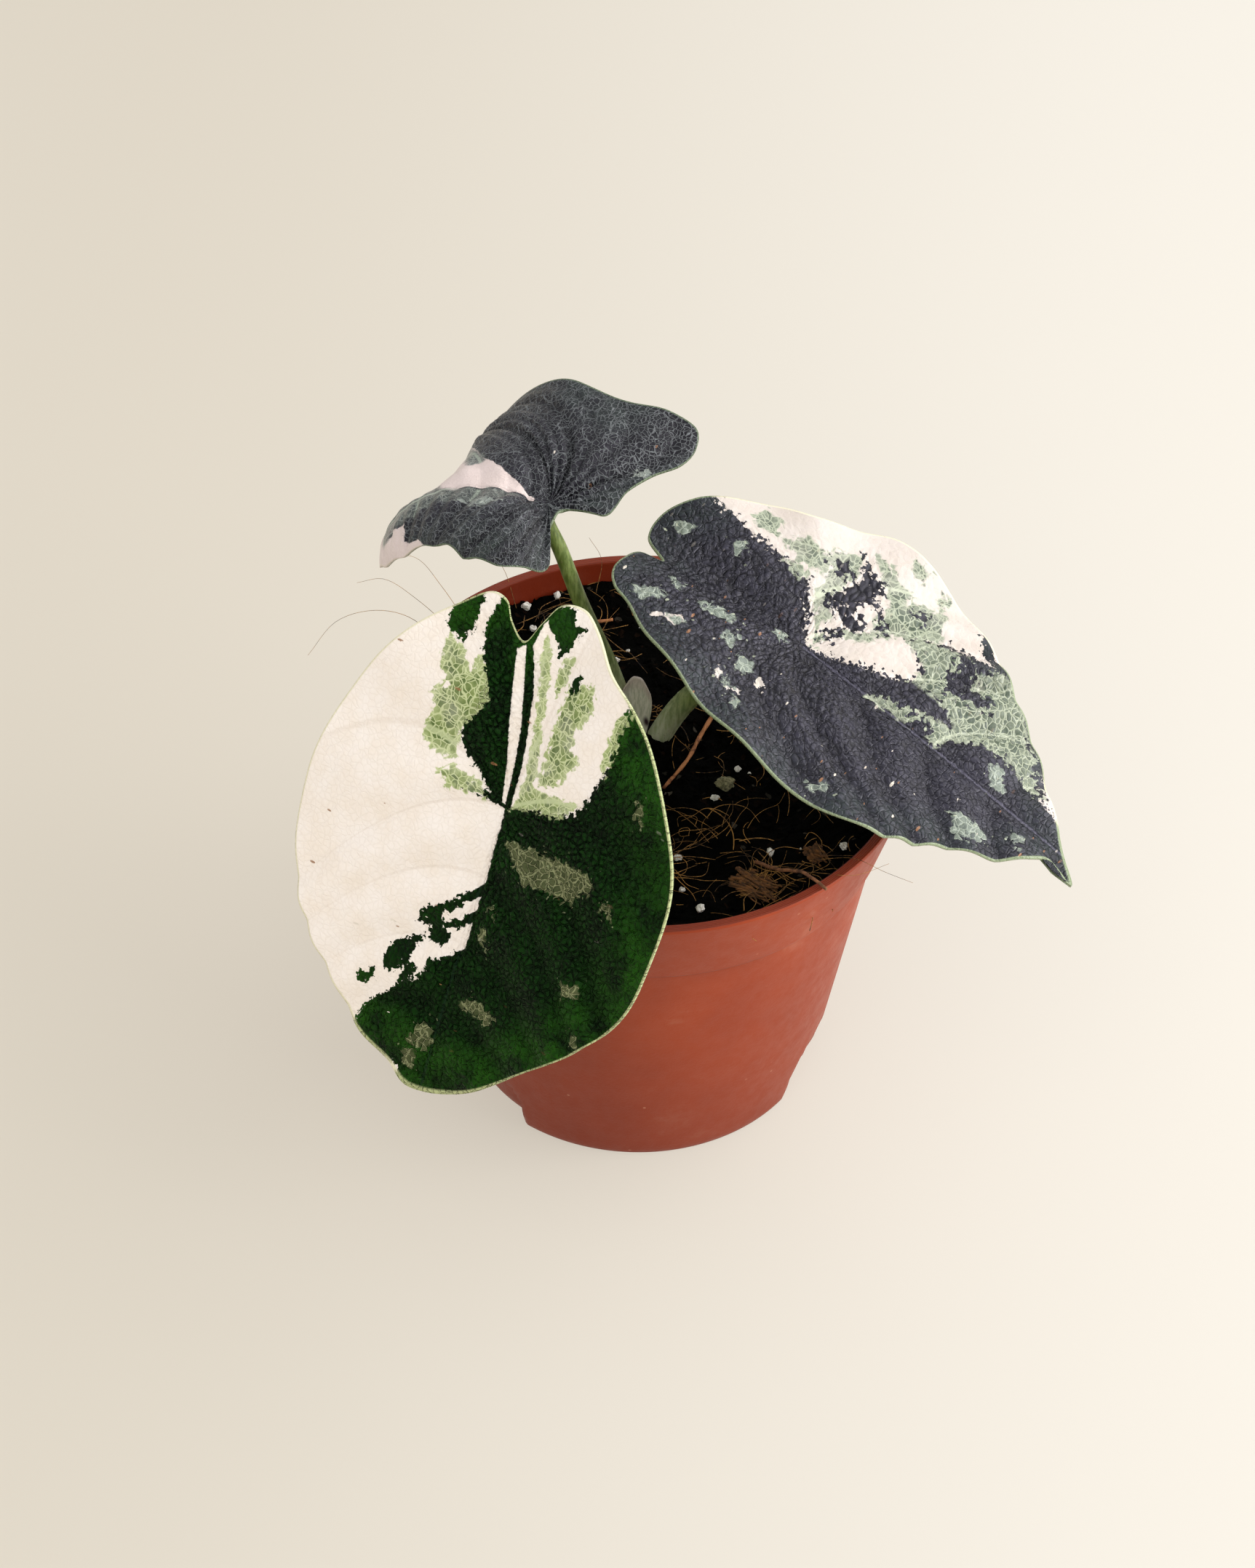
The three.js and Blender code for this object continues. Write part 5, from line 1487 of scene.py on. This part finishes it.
def root_material(name, low, high):
    """Dry root or coir fibre: woody, matt and streaky; some lengths are darker."""
    s = Surface(name)
    place = s.add("place")
    streak = s.add("noise", place, 0.9 * PER_MM, 5, 0.7)
    length = s.add("noise", place, 0.15 * PER_MM, 2, 0.6)
    tone = s.add("ADD", s.add("MULTIPLY", streak, 0.5), s.add("MULTIPLY", length, 0.5))
    colour = s.add("mix", s.add("ramp", tone, 0.38, 0.6), low, high)
    return s.finish(colour, 0.8, s.add("bump", streak, 0.15 * MM))


def scatter_litter(ground, earth, white, thread_skin):
    """Loose bits over the whole surface: their number is for each square metre, their size in m."""
    every_way = {"turn_min": (0, 0, 0), "turn_max": (6.28, 6.28, 6.28)}
    lying = {"turn_min": (-0.35, -0.35, 0), "turn_max": (0.35, 0.35, 6.28)}
    crumbs = scatter_tree("crumbs", crumb_shape, earth,
                          {**every_way, "grow_min": (0.5, 0.5, 0.4), "grow_max": (1.7, 1.4, 1.1)})
    dust = scatter_tree("perlite_dust", crumb_shape, white,
                        {**every_way, "grow_min": (0.5, 0.5, 0.5), "grow_max": (1.8, 1.5, 1.3)})
    fibres = scatter_tree("fibres", fibre_shape, thread_skin,
                          {**lying, "grow_min": (0.5, 0.2, 0.4), "grow_max": (1.5, 1.4, 1.1)})
    for name, tree, density, size, seed, slot in (
            ("peat_crumbs", crumbs, 125000, 0.62 * MM, 3, "potting_mix"),
            ("perlite_dust", dust, 4200, 0.42 * MM, 8, "perlite"),
            ("coir_fibres", fibres, 15000, 4.2 * MM, 5, "bark")):
        settle(scatter(name, ground, tree, density, size, seed), slot)


def build_grains_and_chips(white):
    """The perlite grains and bark chips that lie in the soil's pockets."""
    for index, (x, y, size) in enumerate(GRAINS, 1):
        place = (x, y, soil_height(x, y) + size * 0.5)
        piece = rough_stone(f"perlite_grain_{index}", place, (size, size * 0.85, size * 0.8),
                            40 * index, white, 0.25, index, facets=0.35)
        settle(piece, "perlite", f"perlite_{index}")
    bark = bark_material()
    for index, (x, y, length, width, turn) in enumerate(CHIPS, 1):
        place = (x, y, soil_height(x, y) + 0.8)
        piece = bark_shred(f"bark_piece_{index}", place, length, width, turn, bark, 30 + index)
        settle(piece, "bark", f"bark_chip_{index}")


def build_roots_and_twig():
    woody = root_material("dry_root_bark", "#63351C", "#B9794A")
    for index, (radius, places) in enumerate(ROOTS, 1):
        route = [(x, y, soil_height(x, y) + 0.3 * radius + 0.5) for x, y in places]
        piece = sweep(f"lying_root_{index}", route, radius, radius * 0.8, woody, sides=14, steps=60,
                      swell=lambda along, turn: 0.05 * np.sin(33 * along + 2 * turn))
        settle(piece, "root_bark", f"surface_root_{index}")
    twig_bark = root_material("dry_twig_bark", "#3E2314", "#8A5A38")
    foot, top, route = TWIG
    piece = sweep("dry_twig", route, foot, top, twig_bark, sides=12, steps=60,
                  swell=lambda along, turn: 0.07 * np.sin(31 * along + turn))
    settle(piece, "root_bark", "twig")


def build_pebble():
    x, y, size = PEBBLE
    place = (x, y, soil_height(x, y) + size * 0.5)
    piece = rough_stone("soil_pebble", place, (size * 1.15, size * 0.95, size * 0.85), x + y,
                        pebble_material(), 0.2, 5, facets=0.2)
    settle(piece, "pebble", "pebble")


def build_ground():
    earth, white = soil_material(), perlite_material()
    thread_skin = root_material("coir_thread", "#1A0D06", "#B0803F")
    ground = build_soil(earth)
    scatter_litter(ground, earth, white, thread_skin)
    settle(ground, "potting_mix", "soil")
    build_grains_and_chips(white)
    build_roots_and_twig()
    build_pebble()
    build_tangles(thread_skin)
    build_strays(thread_skin)


# Camera, light and floor

def place_camera():
    elevation, roll = math.radians(CAMERA_ELEVATION), math.radians(CAMERA_ROLL)
    back = Vector((0, -math.cos(elevation), math.sin(elevation)))
    level = Vector((1, 0, 0))
    upright = back.cross(level)
    right = math.cos(roll) * level + math.sin(roll) * upright
    up = -math.sin(roll) * level + math.cos(roll) * upright
    camera = bpy.data.cameras.new("view")
    camera.sensor_fit = "VERTICAL"
    camera.sensor_height = FILM_HEIGHT
    camera.lens = LENS
    camera.clip_start = 0.01
    camera.clip_end = 20
    holder = bpy.data.objects.new("view", camera)
    bpy.context.collection.objects.link(holder)
    turn = Matrix((right, up, back)).transposed().to_4x4()
    holder.matrix_world = Matrix.Translation(CAMERA_TARGET + back * CAMERA_DISTANCE) @ turn
    bpy.context.scene.camera = holder


def place_light():
    world = bpy.data.worlds.new("studio")
    world.use_nodes = True
    sky = world.node_tree.nodes["Background"]
    sky.inputs["Color"].default_value = linear("#FBFAF9")
    sky.inputs["Strength"].default_value = 0.7
    bpy.context.scene.world = world
    bpy.context.scene.view_settings.view_transform = "Standard"
    for name, spot, size, watts in (("key_softbox", (1.1, 0.45, 1.0), 1.5, 14),
                                    ("fill_softbox", (-0.4, -0.9, 1.4), 1.4, 8.5),
                                    ("side_softbox", (0.8, -0.2, 0.3), 0.6, 6)):
        lamp = bpy.data.lights.new(name, "AREA")
        lamp.shape = "SQUARE"
        lamp.size = size
        lamp.energy = watts
        lamp.color = linear("#FFFDF9")[:3]
        holder = bpy.data.objects.new(name, lamp)
        holder.visible_camera = False
        bpy.context.collection.objects.link(holder)
        spot = Vector(spot)
        aim = (Vector((0, 0, 0.08)) - spot).to_track_quat("-Z", "Y")
        holder.matrix_world = Matrix.Translation(spot) @ aim.to_matrix().to_4x4()


def place_floor():
    """Plain pale studio floor: an even glow softens the shadows, and is brighter to the right."""
    s = Surface("pale_studio_floor")
    place = s.add("place")
    tooth = s.add("bump", s.add("noise", place, 0.15 * PER_MM, 3, 0.6), 0.02 * MM)
    glow = s.add("mix", s.add("ramp", s.add("x", place), -0.17, 0.2), "#AFA798", "#C9C5BD")
    material = s.finish("#89857E", 0.85, tooth, Emission_Color=glow, Emission_Strength=1.0)
    reach = 2500
    corners = [(-reach, -reach, 0), (reach, -reach, 0), (reach, reach, 0), (-reach, reach, 0)]
    floor = make_piece("floor", corners, [(0, 1, 2, 3)], material)


place_camera()
place_light()
place_floor()
build_blades()
build_stalks()
build_sheath()
build_ground()
build_pot(pot_material())
dress_rhizome()
